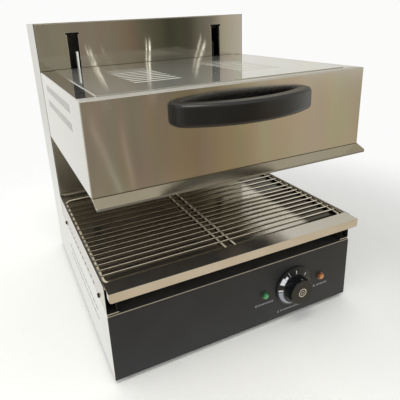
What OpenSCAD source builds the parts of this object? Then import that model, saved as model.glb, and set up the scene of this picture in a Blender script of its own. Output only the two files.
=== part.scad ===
// Rise-and-fall cheese melter: a heated head that slides up and down on a rear column,
// over a pull-out drip tray with a lift-off wire grid.
// Millimetres. X is the width, -Y the front, Z up. The origin is on the floor, at the
// middle of the whole outline, handle and cable gland included.

/* [Body] */
// Width over the two side panels
body_w = 450; // [430:1:560]
// Depth from the control panel to the rear cover
body_d = 485; // [470:1:560]
// Height of the column above the underside of the base
column_h = 511; // [506:1:580]
// Depth of the column behind the head
column_d = 122; // [118:1:150]
// Thickness of the stainless steel sheet
sheet = 1.2; // [1:0.1:1.5]
// Height of the rubber feet
foot_h = 8; // [7:0.5:20]
// Radius of the rubber feet
foot_r = 16; // [12:1:24]
// Distance of the feet from the sides
foot_inset = 45; // [35:1:80]

/* [Base] */
// Height of the front control panel
panel_h = 116; // [100:1:130]
// Thickness of the black panel overlay
overlay_t = 0.8; // [0.5:0.1:1.2]
// Steel edge left bare above the overlay
overlay_edge = 1.5; // [1:0.1:4]
// Height of the lamps and the knob above the underside of the base
control_z = 58; // [50:1:70]
// Distance of the knob from the middle
knob_x = 103; // [90:1:115]
// Distance of each lamp from the knob
lamp_pitch = 60; // [50:1:75]
// Radius of the lamp lenses
lens_r = 6; // [5:0.5:8]

/* [Tray and grid] */
// Height of the tray rails, from the side panel to the shelf
rail_h = 35.5; // [25:0.5:45]
// Width of the tray rails
rail_w = 16; // [14:1:24]
// Depth of the drip tray below its rim
tray_depth = 9.5; // [8:0.5:16]
// Distance of the tray lip ahead of the control panel
lip_reach = 18.5; // [14:0.5:26]
// Height of the tray lip
lip_h = 15; // [12:0.5:22]
// Depth of the tray's front rim behind the control panel's face
rim_depth = 10; // [8:1:24]
// Rise of the tray's rear wall above its rim
back_rise = 5.5; // [2:0.5:8]
// Wire diameter of the grid's frame
frame_wire = 4.5; // [4:0.25:6]
// Diameter of the grid's rods
grid_rod = 3; // [2.5:0.25:4]
// Number of rods across the grid
rod_count = 17; // [12:1:22]
// Number of those rods that lie close together at the front
close_rods = 10; // [6:1:11]
// Distance between the close rods
rod_pitch = 15.3; // [12:0.1:16]
// Corner radius of the grid's frame
grid_corner = 14; // [10:1:24]
// Place of the two support rods to the side of the middle
support_mid = -11; // [-20:1:20]
// Distance between the two support rods
support_gap = 18; // [12:1:40]

/* [Head] */
// Height of the head
head_h = 124.5; // [115:0.5:135]
// Height of the head's underside above the underside of the base, as it stands
head_rest = 299.5; // [290:0.5:310]
// Gap between the head and the column
head_gap = 6; // [5:0.5:12]
// Width of the folded rim along each side of the head's top
rim_side = 25.5; // [18:0.5:40]
// Width of the folded rim along the front of the head's top
rim_front = 19; // [12:1:30]
// Distance of the deflector's edge ahead of the head
deflector_reach = 18.5; // [10:0.5:22]
// Drop of the deflector's edge below the head
deflector_drop = 11; // [8:0.5:16]
// Height of the reflector inside the head
reflector_h = 48; // [40:1:60]
// Diameter of the heating elements
element_d = 8.5; // [6.5:0.5:10]
// Number of heating elements
element_count = 3; // [2:1:3]

/* [Handle] */
// Distance between the middles of the handle's two ends
handle_span = 200; // [160:1:240]
// Reach of the handle ahead of the head
handle_reach = 50; // [42:1:64]
// Height of the handle's grip
handle_h = 31.5; // [24:0.5:36]
// Thickness of the handle's grip
handle_t = 22; // [18:1:24]
// Height of the handle's middle above the head's underside
handle_z = 93; // [60:1:100]

/* [Vents] */
// Number of louvres in each group on the head's top
louvre_count = 9; // [5:1:9]
// Length of each louvre
louvre_len = 75; // [50:1:85]
// Distance from one louvre to the next
louvre_pitch = 20; // [16:0.5:22]
// Number of slots in each band on the head's sides
band_count = 28; // [16:1:28]
// Distance from one slot of a band to the next
band_pitch = 8; // [6:0.5:8.5]
// Number of slots in each row on the base's sides
row_count = 12; // [6:1:12]
// Distance from one slot of a row to the next
row_pitch = 20; // [16:0.5:20.5]

/* [Lift] */
// Travel of the head upwards from where it stands
lift_up = 33; // [10:1:33]
// Travel of the head downwards from where it stands
lift_down = 95; // [60:1:95]
// Distance between the two column slots
slot_span = 312; // [306:1:320]
// Clear width of each column slot
slot_w = 21; // [19:0.5:23]
// Diameter of the guide rods
rod_d = 12; // [10:0.5:14]
// Distance between the two guide rods
rod_span = 260; // [256:1:268]
// Radius at which the rope lies on its pulley
pulley_r = 25; // [22:0.5:27]
// Distance between the two pulleys
pulley_span = 168; // [160:1:172]
// Height of the counterweight
weight_h = 126; // [100:1:130]
// Width of the counterweight
weight_w = 150; // [140:1:160]

/* [Hidden] */
$fn = 48;

// Clearances
slide_gap = 0.3;      // between pieces that slide past each other
side_gap = 0.5;       // at each side of the tray and the grid
bush_gap = 0.05;      // round a shaft that turns or slides in its bore

// Main planes
gland_reach = 22;
front_y = (handle_reach - body_d - gland_reach) / 2;
rear_y = front_y + body_d;
column_y = rear_y - column_d;
half_w = body_w / 2;
inner_w = half_w - sheet;
panel_y = front_y + overlay_t;
side_y = panel_y + sheet;
deck_z = foot_h + panel_h;
top_z = foot_h + column_h;

// Folded edges
flange = 14;
seat_rise = 3;
seat_w = 18;
seat_z = deck_z + seat_rise;
notch = 3;

// Tray and grid
shelf_z = seat_z + rail_h;
tray_z = shelf_z + slide_gap;
rim_z = tray_z + sheet + tray_depth;
tray_x = inner_w - side_gap;
tray_y0 = front_y + rim_depth;
tray_y1 = column_y - 1.5;
lip_y = front_y - lip_reach;
lip_corner = 4;
lip_return = 10;
shelf_w = 8;
grid_overhang = frame_wire / 2 + 0.8;
grid_x = tray_x - sheet - grid_overhang - side_gap;
grid_y0 = tray_y0 + sheet + frame_wire / 2 + 1.2;
grid_y1 = tray_y1 - sheet - frame_wire / 2 - 15;
grid_z = tray_z + sheet + slide_gap + frame_wire / 2;
weld = 0.4;
first_rod = grid_y0 + 1.4 * rod_pitch;
last_close = first_rod + (close_rods - 1) * rod_pitch;
open_pitch = (grid_y1 - last_close) / (rod_count - close_rods + 1);

// Head
head_z = foot_h + head_rest;
head_top = head_z + head_h;
head_back = column_y - head_gap;
head_inner_y = head_back - sheet;
bottom_flange = 12;
louvre_gap = 104;
louvre_w = 7;
louvre_drop = 1.6;
louvre_start = 88.5;
lid_lap = 12;
band_start = 72;
band_slot = [2.4, 12];
bend_r = 2;
band_heights = [71, 97];
reflector_x = half_w - 33;
reflector_y0 = front_y + 28;
reflector_y1 = head_inner_y - 26;
element_z = head_z + 22;
element_bend = 28;
element_pitch = 95;
element_start = 60;
support_x = [-110, 60];
terminal_len = 20;
insulator_len = 9;

// Handle
handle_round = 6;
handle_leg = 3;
handle_end = handle_t / 2 + 2;
handle_mid = handle_z + head_z;
handle_bow = handle_reach - handle_t / 2;
handle_a = handle_span / 2 - handle_end;
handle_b = handle_bow - handle_leg - handle_end;
handle_d = (handle_a * handle_a - handle_b * handle_b) / (2 * handle_b);
handle_big = handle_d + handle_bow - handle_leg;
handle_angle = atan(handle_a / handle_d);
handle_screw_r = 2.5;

// Vents of the floor and the rear cover
floor_vent = [80, 5];
floor_vent_x = 70;
floor_vent_start = 130;
floor_vent_pitch = 20;
rear_vent = [90, 4];
rear_vent_x = 60;
rear_vent_pitch = 10;
rear_vent_low = 70;
rear_vent_drop = 130;
cover_edge = 30;

// Controls
control_h = foot_h + control_z;
knob_gap = 1;
skirt_r = 37;
grip_r = 24;
knob_h = 24;
disc_r = 9.3;
disc_t = 1.2;
disc_rise = 0.8;
spindle_r = 3;
spindle_depth = 16;
thermostat = [46, 40, 34];
bush_r = 5;
lamp_r = lens_r - 0.2;
bezel_r = lens_r + 1.2;
bezel_t = 1.2;
gland_x = -150;
gland_z = deck_z + 30;
gland_r = 8;
cable_r = 5;

// Side slots of the base
row_start = 73;
row_heights = [60, 79];
row_slot = [17, 3];
rail_slot = [9, 4.5];
rail_slot_z = 9;
rail_screw = [46, 5];

// Lift
arm_t = 3;
arm_x = slot_span / 2 - 6;
arm_rise = 32;
arm_z0 = head_z + 40;
tab_front_z = [arm_z0 + 14, arm_z0 + 62];
arm_top = head_top + arm_rise;
slot_fold = 8;
arm_nose_y = column_y + slot_fold + slide_gap;
slot_margin = 3;
slot_top = arm_top + lift_up + slot_margin;
slot_bottom = arm_z0 - lift_down - slot_margin;
relief = [slot_w + 5, 3.5];
block = [26, 26, 30];
rod_y = column_y + 29;
plate_t = 4;
plate_y = rod_y + block[1] / 2;
plate_z0 = head_z + 35.5;
plate_z1 = head_z + 145.5;
plate_x = arm_x - arm_t / 2 - 1;
block_z = [plate_z0, plate_z1 - block[2]];
tab_z = [plate_z0 + block[2] + 4, plate_z1 - block[2] - 4];
tab_w = 24;
neck_y = rod_y - block[1] / 2 - 1;
weight_gap = 6;
weight_d = 60;
weight_y0 = plate_y + plate_t + weight_gap;
rope_y = weight_y0 + weight_d / 2;
rope_r = 1.5;
rope_out = pulley_span / 2 + pulley_r;
rope_in = pulley_span / 2 - pulley_r;
beam_t = 3;
buffer_h = 7.5;
beam_h = 18;
beam_y0 = column_y + flange + 0.5;
beam_y1 = weight_y0 + weight_d - 6;
beam_top = top_z - 8;
stop_gap = 0.5;
collar_h = 8;
ring_r = rod_d / 2 + 4.5;
upper_stop = plate_z1 + lift_up + stop_gap;
lower_top = plate_z0 - lift_down - buffer_h - stop_gap;
lower_y1 = plate_y - 1;
rod_z0 = lower_top - beam_t - 8;
pulley_z = beam_top - beam_t - pulley_r - 8;
pulley_w = 10;
pulley_rim = pulley_r + 3;
axle_r = 4;
cheek_t = 2.5;
cheek_gap = 1;
lug_z = plate_z0 + 45;
lug = [20, rope_y + 8 - plate_y - plate_t, 4];
weight_top = head_z - 12;
eye_h = 12;
lead_r = 3;
lead_x = -(slot_span / 2 + slot_w / 2 - lead_r - 0.5);
lead_z = head_z + 100;
lead_bend = 15;
lead_y = column_y + 70;
block_size = [60, 24, 20];
lead_foot = deck_z + block_size[2];

// A box given by its lowest and highest corners
module span(lo, hi) {
    translate(lo) cube(hi - lo);
}

// The children and their mirror image across the middle
module both() {
    children();
    mirror([1, 0, 0]) children();
}

// The children on the side of s: -1 is the left, 1 the right
module on_side(s) {
    mirror([s < 0 ? 1 : 0, 0, 0]) children();
}

// A cylinder along Y from the given point
module y_rod(r, len) {
    rotate([-90, 0, 0]) cylinder(r = r, h = len);
}

// A cylinder along X from the given point
module x_rod(r, len) {
    rotate([0, 90, 0]) cylinder(r = r, h = len);
}

// A rectangle with round corners, about its middle
module round_rect(w, h, r) {
    square([w - 2 * r, h], center = true);
    square([w, h - 2 * r], center = true);
    for (x = [-1, 1], y = [-1, 1])
        translate([x * (w / 2 - r), y * (h / 2 - r)]) circle(r);
}

// A screw along -Y with its pan head at the given point, its shank running to +Y
module pan_screw_y(r, len) {
    y_rod(r, len);
    rotate([90, 0, 0]) rotate_extrude()
        polygon([[0, 0], [2 * r, 0], [1.8 * r, r], [r, 1.4 * r], [0, 1.4 * r]]);
}

// ---- Base ----

module base_pan() {
    y0 = side_y;
    y1 = rear_y - 2 * sheet;
    color("silver") difference() {
        union() {
            span([-inner_w, y0, foot_h], [inner_w, y1, foot_h + sheet]);
            span([-inner_w, y0, foot_h], [inner_w, y0 + sheet, foot_h + flange]);
            span([-inner_w, y1 - sheet, foot_h], [inner_w, y1, foot_h + flange]);
            both() span([inner_w - sheet, y0, foot_h], [inner_w, y1, foot_h + flange]);
        }
        at_feet() cylinder(r = 3.2, h = 3 * sheet, center = true);
        for (i = [0:9], x = [-1, 1])
            translate([x * floor_vent_x, front_y + floor_vent_start + floor_vent_pitch * i, foot_h])
                cube([floor_vent[0], floor_vent[1], 4 * sheet], center = true);
    }
}

// The children at each of the four feet, on the underside of the base
module at_feet() {
    for (x = [-1, 1], y = [front_y + foot_inset, rear_y - foot_inset])
        translate([x * (half_w - foot_inset), y, foot_h]) children();
}

module side_panel(s) {
    color("gainsboro") on_side(s) difference() {
        union() {
            translate([inner_w, 0, 0]) rotate([90, 0, 90]) linear_extrude(sheet) polygon([
                [side_y, foot_h], [rear_y - sheet, foot_h], [rear_y - sheet, top_z - sheet],
                [column_y, top_z - sheet], [column_y, seat_z + notch],
                [column_y - notch, seat_z], [side_y, seat_z]]);
            span([half_w - seat_w, side_y, seat_z - sheet], [half_w, column_y - notch, seat_z]);
            span([half_w - flange, rear_y - 2 * sheet, foot_h], [half_w, rear_y - sheet, top_z - sheet]);
        }
        for (z = row_heights, i = [0:row_count - 1])
            translate([half_w, front_y + row_start + row_pitch * (i + 0.4), foot_h + z])
                cube([4 * sheet, row_slot[0], row_slot[1]], center = true);
        cover_points() translate([0, -3 * sheet, 0]) y_rod(1.6, 4 * sheet);
    }
}

// The children at each screw of the rear cover, on the right-hand side
module cover_points() {
    for (i = [0:4])
        translate([half_w - flange / 2, rear_y, foot_h + cover_edge + i * (column_h - 2 * cover_edge) / 4])
            children();
}

module rear_cover() {
    color("silver") difference() {
        span([-half_w, rear_y - sheet, foot_h], [half_w, rear_y, top_z - sheet]);
        both() cover_points() translate([0, -2 * sheet, 0]) y_rod(1.6, 3 * sheet);
        translate([gland_x, rear_y - 2 * sheet, gland_z]) y_rod(gland_r, 3 * sheet);
        for (i = [0:7], x = [-1, 1], z = [rear_vent_low, column_h - rear_vent_drop])
            translate([x * rear_vent_x, rear_y, foot_h + z + rear_vent_pitch * i])
                cube([rear_vent[0], 4 * sheet, rear_vent[1]], center = true);
    }
}

module cover_screws() {
    color("silver") both() cover_points() mirror([0, 1, 0]) pan_screw_y(1.6, 5);
}

module column_front() {
    edge = slot_w / 2;
    color("tan") union() {
        difference() {
            union() {
                span([-inner_w, column_y, deck_z], [inner_w, column_y + sheet, top_z - sheet]);
                both() span([inner_w - sheet, column_y, deck_z],
                    [inner_w, column_y + flange, top_z - sheet]);
            }
            both() {
                span([slot_span / 2 - edge, column_y - sheet, slot_bottom],
                    [slot_span / 2 + edge, column_y + 2 * sheet, slot_top - relief[1]]);
                for (z = [slot_bottom - relief[1], slot_top - relief[1]])
                    span([slot_span / 2 - relief[0] / 2, column_y - sheet, z],
                        [slot_span / 2 + relief[0] / 2, column_y + 2 * sheet, z + relief[1]]);
            }
        }
        both() for (x = [-edge - sheet, edge])
            span([slot_span / 2 + x, column_y, slot_bottom],
                [slot_span / 2 + x + sheet, column_y + slot_fold, slot_top - relief[1]]);
    }
}

module column_cap() {
    color("silver") union() {
        span([-half_w, column_y, top_z - sheet], [half_w, rear_y, top_z]);
        span([-inner_w + sheet, column_y + sheet, top_z - 6],
            [inner_w - sheet, column_y + 2 * sheet, top_z - sheet]);
        span([-inner_w + flange, rear_y - 2 * sheet, top_z - 6],
            [inner_w - flange, rear_y - sheet, top_z - sheet]);
    }
}

// The children at the knob's axis, on the panel's front plane, with Z turned to the front
module at_knob() {
    translate([knob_x, front_y, control_h]) rotate([90, 0, 0]) children();
}

// The children at each lamp's axis, in the same way
module at_lamp(s) {
    translate([knob_x + s * lamp_pitch, front_y, control_h]) rotate([90, 0, 0]) children();
}

// The holes that the panel and its overlay share
module control_holes() {
    depth = 3 * (sheet + overlay_t);
    at_knob() cylinder(r = bush_r, h = depth, center = true);
    for (s = [-1, 1]) at_lamp(s) cylinder(r = lamp_r, h = depth, center = true);
}

module control_panel() {
    color("silver") difference() {
        union() {
            span([-half_w, panel_y, foot_h], [half_w, side_y, deck_z]);
            span([-inner_w, panel_y, deck_z - 2 * sheet], [inner_w, panel_y + flange, deck_z - sheet]);
            both() span([inner_w - sheet, panel_y, foot_h + flange + 2],
                [inner_w, panel_y + flange, deck_z - sheet]);
        }
        control_holes();
    }
}

module panel_overlay() {
    color("#2d2f30") difference() {
        span([-half_w, front_y, foot_h], [half_w, panel_y, deck_z - overlay_edge]);
        control_holes();
    }
}

module base_deck() {
    y1 = rear_y - 2 * sheet;
    color("silver") union() {
        span([-inner_w, side_y, deck_z - sheet], [inner_w, y1, deck_z]);
        both() span([inner_w - sheet, panel_y + flange + 2, deck_z - flange],
            [inner_w, y1, deck_z - sheet]);
    }
}

module tray_rail(s) {
    web_x = half_w - rail_w;
    color("gainsboro") on_side(s) difference() {
        union() {
            span([inner_w, side_y, seat_z], [half_w, column_y - notch, rim_z - slide_gap]);
            span([web_x, side_y, seat_z], [half_w, column_y - notch, seat_z + sheet]);
            span([web_x, side_y, seat_z], [web_x + sheet, column_y - notch, shelf_z]);
            span([web_x - shelf_w, side_y, shelf_z - sheet], [web_x + sheet, column_y - notch, shelf_z]);
        }
        for (i = [0:row_count - 1])
            translate([half_w, front_y + row_start + row_pitch * (i + 0.2), seat_z + rail_slot_z])
                cube([3 * sheet, rail_slot[0], rail_slot[1]], center = true);
        rail_points() x_rod(2, 3 * rail_w);
    }
}

// The children at each rail screw, inside the right-hand rail
module rail_points() {
    for (y = [front_y + rail_screw[0], column_y - rail_screw[0]])
        translate([half_w - 2 * rail_w, y, seat_z + rail_screw[1]]) children();
}

module rail_screws() {
    color("silver") both() for (y = [front_y + rail_screw[0], column_y - rail_screw[0]])
        translate([half_w, y, seat_z + rail_screw[1]]) {
            rotate([0, 90, 0]) cylinder(r1 = 4, r2 = 3, h = 2.2);
            translate([-rail_w - 3, 0, 0]) x_rod(2, rail_w + 3);
            translate([-rail_w - 3, 0, 0]) rotate([0, 90, 0]) cylinder(r = 3.8, h = 3, $fn = 6);
        }
}

module rubber_feet() {
    color("#202020") at_feet() mirror([0, 0, 1]) difference() {
        cylinder(r1 = foot_r, r2 = foot_r - 1.5, h = foot_h);
        translate([0, 0, -1]) cylinder(r = 3, h = foot_h + 2);
        translate([0, 0, foot_h - 4]) cylinder(r = 7, h = 5);
    }
}

module foot_screws() {
    color("silver") at_feet() {
        translate([0, 0, -foot_h + 4 - 3]) cylinder(r = 5.5, h = 3);
        translate([0, 0, -foot_h + 4]) cylinder(r = 3, h = foot_h - 4 + sheet + 6);
        translate([0, 0, sheet]) cylinder(r = 5.7, h = 5, $fn = 6);
    }
}

module thermostat_body() {
    back = front_y - side_y;
    color("#3a3a38") at_knob() difference() {
        union() {
            translate([0, 0, back - thermostat[1] / 2])
                cube([thermostat[0], thermostat[2], thermostat[1]], center = true);
            translate([0, 0, back - 1]) cylinder(r = bush_r, h = 1 - back);
        }
        translate([0, 0, back - thermostat[1] + 6])
            cylinder(r = spindle_r + bush_gap, h = thermostat[1]);
    }
}

module thermostat_spindle() {
    back = front_y - side_y - thermostat[1] + 7;
    color("silver") at_knob() translate([0, 0, back])
        cylinder(r = spindle_r, h = knob_gap + spindle_depth - back);
}

module temperature_knob() {
    color("#1c1c1c") at_knob() translate([0, 0, knob_gap]) difference() {
        rotate_extrude($fn = 96) polygon([[0, 0], [skirt_r, 0], [skirt_r, 1.2], [skirt_r - 2.5, 2.6],
            [grip_r + 1.5, 5.2], [grip_r, 6.2], [grip_r - 1, knob_h - 1], [grip_r - 2, knob_h],
            [0, knob_h]]);
        translate([0, 0, -1]) cylinder(r = spindle_r, h = spindle_depth + 1);
        translate([0, 0, knob_h - disc_t + disc_rise]) cylinder(r = disc_r, h = disc_t);
        for (a = [0:30:330]) rotate(a + 15) translate([grip_r + 1, 0, 6]) cylinder(r = 2.6, h = knob_h);
    }
}

module knob_disc() {
    color("silver") at_knob() translate([0, 0, knob_gap + knob_h - disc_t + disc_rise])
        cylinder(r = disc_r, h = disc_t);
}

module lens(s) {
    at_lamp(s) rotate_extrude() polygon(concat(
        [[0, 0], [bezel_r, 0], [bezel_r, bezel_t], [lens_r, bezel_t + 0.6]],
        [for (a = [0:15:90]) [lens_r * cos(a), bezel_t + 1.6 + 0.62 * lens_r * sin(a)]]));
}

module green_lens() {
    color("seagreen") lens(-1);
}

module amber_lens() {
    color("darkorange") lens(1);
}

module lamp_bodies() {
    color("#303030") for (s = [-1, 1]) at_lamp(s) translate([0, 0, -30]) {
        cylinder(r = lamp_r, h = 30);
        cylinder(r = lamp_r + 2, h = 30 + front_y - side_y);
    }
}

module terminal_block() {
    lo = [lead_x - block_size[0] / 2, lead_y - block_size[1] / 2, deck_z];
    color("ivory") difference() {
        span(lo, lo + block_size);
        for (i = [-2:2])
            translate([lead_x + 11 * i, lead_y, lead_foot - 10]) cylinder(r = lead_r - 0.5, h = 11);
    }
}

module cable_gland() {
    color("#2a2a2a") translate([gland_x, rear_y, gland_z]) rotate([-90, 0, 0]) difference() {
        union() {
            translate([0, 0, -14]) cylinder(r = gland_r, h = 14);
            cylinder(r = 12, h = 6, $fn = 6);
            cylinder(r1 = 10.5, r2 = 8, h = gland_reach);
        }
        translate([0, 0, -15]) cylinder(r = cable_r, h = gland_reach + 16);
    }
}

module gland_nut() {
    color("#2a2a2a") translate([gland_x, rear_y - sheet, gland_z]) rotate([90, 0, 0]) difference() {
        cylinder(r = 12, h = 5, $fn = 6);
        translate([0, 0, -1]) cylinder(r = gland_r, h = 7);
    }
}

// ---- Tray and grid ----

module drip_tray() {
    color("tan") difference() {
        union() {
            span([-tray_x, tray_y0, tray_z], [tray_x, tray_y1, tray_z + sheet]);
            span([-tray_x, tray_y0, tray_z], [tray_x, tray_y0 + sheet, rim_z]);
            span([-tray_x, tray_y1 - sheet, tray_z], [tray_x, tray_y1, rim_z + back_rise]);
            both() span([tray_x - sheet, tray_y0, tray_z], [tray_x, tray_y1, rim_z]);
            span([-tray_x, lip_y, rim_z - sheet], [tray_x, tray_y0 + sheet, rim_z]);
            span([-tray_x, lip_y, rim_z - lip_h], [tray_x, lip_y + sheet, rim_z]);
            both() span([tray_x - sheet, lip_y, rim_z - lip_h], [tray_x, lip_y + lip_return, rim_z]);
        }
        both() difference() {
            span([tray_x - lip_corner, lip_y - 1, rim_z - lip_h - 1],
                [tray_x + 1, lip_y + lip_return + 1, rim_z - lip_h + lip_corner]);
            translate([tray_x - lip_corner, lip_y - 1, rim_z - lip_h + lip_corner])
                y_rod(lip_corner, lip_return + 2);
        }
    }
}

module wire_grid() {
    r = frame_wire / 2;
    cx = grid_x - grid_corner;
    cy0 = grid_y0 + grid_corner;
    cy1 = grid_y1 - grid_corner;
    color("ivory") union() {
        for (y = [grid_y0, grid_y1]) translate([-cx, y, grid_z]) x_rod(r, 2 * cx);
        for (x = [-grid_x, grid_x]) translate([x, cy0, grid_z]) y_rod(r, cy1 - cy0);
        for (c = [[cx, cy1, 0], [-cx, cy1, 90], [-cx, cy0, 180], [cx, cy0, 270]])
            translate([c[0], c[1], grid_z]) rotate(c[2]) rotate_extrude(angle = 90)
                translate([grid_corner, 0]) circle(r);
        for (i = [0:close_rods - 1]) cross_rod(first_rod + i * rod_pitch);
        for (i = [1:rod_count - close_rods]) cross_rod(last_close + i * open_pitch);
        for (s = [-1, 1])
            translate([support_mid + s * support_gap / 2, grid_y0, grid_z])
                y_rod(r - 0.25, grid_y1 - grid_y0);
    }
}

// A rod across the grid, welded on the frame
module cross_rod(y) {
    translate([-grid_x - grid_overhang, y, grid_z + (frame_wire + grid_rod) / 2 - weld])
        x_rod(grid_rod / 2, 2 * (grid_x + grid_overhang));
}

// ---- Head ----

module head_shell() {
    color("tan") difference() {
        union() {
            span([-half_w, front_y, head_z], [half_w, front_y + sheet, head_top]);
            both() span([inner_w, front_y, head_z], [half_w, head_back, head_top]);
            span([-half_w, front_y, head_top - sheet], [half_w, front_y + rim_front + lid_lap, head_top]);
            both() span([half_w - rim_side - lid_lap, front_y, head_top - sheet],
                [half_w, head_back, head_top]);
            span([-half_w, front_y, head_z], [half_w, front_y + bottom_flange, head_z + sheet]);
            both() span([half_w - bottom_flange, front_y, head_z],
                [half_w, head_inner_y, head_z + sheet]);
        }
        both() mitre();
        both() translate([-half_w, front_y, head_z - 1]) bend_waste(head_h + 2);
        both() translate([-half_w, front_y - 1, head_top]) rotate([-90, 0, 0])
            bend_waste(head_back - front_y + 2);
        translate([-half_w - 1, front_y, head_top]) rotate([90, 0, 90]) mirror([0, 1, 0])
            bend_waste(body_w + 2);
        both() for (z = band_heights, i = [0:band_count - 1])
            translate([half_w, front_y + band_start + band_pitch * (i + 0.5),
                head_z + z + band_slot[1] / 2])
                cube([4 * sheet, band_slot[0], band_slot[1]], center = true);
        both() translate([handle_span / 2, front_y - sheet, handle_mid]) y_rod(handle_screw_r, 3 * sheet);
    }
}

// What a square edge loses where the sheet is bent: the corner outside the bend's radius
module bend_waste(length) {
    difference() {
        translate([-1, -1, 0]) cube([bend_r + 1, bend_r + 1, length]);
        translate([bend_r, bend_r, -1]) cylinder(r = bend_r, h = length + 2);
    }
}

// The open seam of the folded rims at the front corner
module mitre() {
    seam = 0.4;
    translate([half_w - bend_r - seam, front_y + bend_r + seam, head_top])
        rotate(atan2(rim_front - sheet, sheet - rim_side))
            translate([0, -seam / 2, -1.5 * sheet]) cube([60, seam, 2 * sheet]);
}

// The lid lies on the folded rims. It is lanced: each louvre is cut free on three sides and
// pressed down at its front, so that warm air leaves through the gap and nothing stands proud
module head_top_panel() {
    free = 0.3;
    color("silver") union() {
        difference() {
            span([rim_side - half_w, front_y + rim_front, head_top],
                [half_w - rim_side, head_back, head_top + sheet]);
            at_louvres() translate([0, 0, -2 * sheet]) cube([louvre_len, louvre_w, 3 * sheet]);
        }
        at_louvres() translate([free, 0, 0]) rotate([90, 0, 90]) linear_extrude(louvre_len - 2 * free)
            polygon([[louvre_w, 0], [louvre_w, -sheet], [free, -louvre_drop - sheet],
                [free, -louvre_drop]]);
    }
}

// The children at each louvre's front left corner, on the lid's upper face
module at_louvres() {
    for (x = [-louvre_gap / 2 - louvre_len, louvre_gap / 2], i = [0:louvre_count - 1])
        translate([x, front_y + louvre_start + louvre_pitch * i, head_top + sheet]) children();
}

module head_rear_panel() {
    color("silver") difference() {
        span([-inner_w, head_inner_y, head_z], [inner_w, head_back, head_top - sheet]);
        arm_holes(tab_front_z);
        translate([lead_x, head_inner_y - sheet, lead_z]) y_rod(lead_r + 1, 3 * sheet);
    }
}

// The bolt holes of the arms' front tabs
module arm_holes(heights) {
    both() for (z = heights)
        translate([arm_x - 15, head_inner_y - 1, z]) y_rod(3, 2 * sheet + arm_t + 2);
}

module deflector() {
    hem = 3;
    corner = 3;
    y0 = front_y - deflector_reach;
    z0 = head_z - deflector_drop;
    color("tan") difference() {
        translate([-inner_w - sheet / 2, 0, 0]) rotate([90, 0, 90]) linear_extrude(2 * inner_w + sheet)
            polygon([[front_y + bottom_flange, head_z], [front_y + bottom_flange, head_z - sheet],
                [front_y + 2.5, head_z - sheet], [y0 + sheet, z0 + hem - 0.5], [y0 + sheet, z0],
                [y0, z0], [y0, z0 + hem], [front_y + 2, head_z]]);
        both() difference() {
            span([inner_w - corner, y0 - 1, z0 - 1], [half_w + 1, y0 + corner, head_z + 1]);
            translate([inner_w + sheet / 2 - corner, y0 + corner, z0 - 2])
                cylinder(r = corner, h = deflector_drop + 4);
        }
    }
}

module reflector() {
    lo = [-reflector_x, reflector_y0, head_z + sheet];
    hi = [reflector_x, reflector_y1, head_z + sheet + reflector_h];
    rim = [inner_w, front_y + sheet, head_inner_y];
    color("whitesmoke") difference() {
        union() {
            span(lo, hi);
            span([-rim[0], rim[1], lo[2]], [rim[0], rim[2], lo[2] + sheet]);
        }
        span(lo + [sheet, sheet, -1], hi - [sheet, sheet, sheet]);
        at_elements() for (s = [-1, 1])
            translate([reflector_x - 2 * sheet, s * element_bend, 0]) x_rod(element_d / 2, 4 * sheet);
    }
}

// The children at the middle of each heating element
module at_elements() {
    mid = (reflector_y0 + reflector_y1) / 2;
    for (i = [0:element_count - 1])
        translate([0, mid + element_pitch * (i - (element_count - 1) / 2), element_z]) children();
}

module heating_elements() {
    bend_x = -reflector_x + element_start;
    leg = reflector_x + insulator_len - bend_x;
    color("#55504a") at_elements() {
        for (s = [-1, 1]) translate([bend_x, s * element_bend, 0]) {
            x_rod(element_d / 2, leg);
            x_rod(2, leg + terminal_len - insulator_len);
        }
        translate([bend_x, 0, 0]) rotate(90) rotate_extrude(angle = 180)
            translate([element_bend, 0]) circle(element_d / 2);
    }
}

module element_supports() {
    z1 = head_z + reflector_h;
    color("silver") difference() {
        for (x = support_x)
            span([x, reflector_y0 + sheet, element_z - 9], [x + 1.5, reflector_y1 - sheet, z1]);
        at_elements() for (s = [-1, 1])
            translate([-half_w, s * element_bend, 0]) x_rod(element_d / 2 + 0.15, body_w);
    }
}

module element_insulators() {
    color("ivory") difference() {
        at_elements() for (s = [-1, 1])
            translate([reflector_x, s * element_bend, 0]) x_rod(element_d / 2 + 4, insulator_len);
        at_elements() for (s = [-1, 1])
            translate([reflector_x - 1, s * element_bend, 0]) x_rod(element_d / 2, insulator_len + 2);
    }
}

module bow_handle() {
    base_y = front_y - handle_leg;
    color("#232326") difference() {
        union() {
            translate([0, base_y + handle_d, handle_mid]) rotate(-90 - handle_angle)
                rotate_extrude(angle = 2 * handle_angle, $fn = 128)
                    translate([handle_big, 0]) round_rect(handle_t, handle_h, handle_round);
            // The ends are a hair slimmer and run a little way into the bow
            both() translate([handle_a, base_y, handle_mid]) mirror([0, 1, 0])
                rotate_extrude(angle = 93 - handle_angle)
                    translate([handle_end, 0]) round_rect(handle_t - 0.08, handle_h - 0.08, handle_round);
            both() translate([handle_span / 2, front_y, handle_mid]) rotate([90, 0, 0])
                linear_extrude(handle_leg) round_rect(handle_t - 0.08, handle_h - 0.08, handle_round);
        }
        both() translate([handle_span / 2, front_y - 12, handle_mid]) y_rod(handle_screw_r, 13);
    }
}

module handle_screws() {
    color("silver") both() translate([handle_span / 2, front_y + sheet, handle_mid])
        mirror([0, 1, 0]) pan_screw_y(handle_screw_r, sheet + 11);
}

// ---- Lift ----

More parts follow.
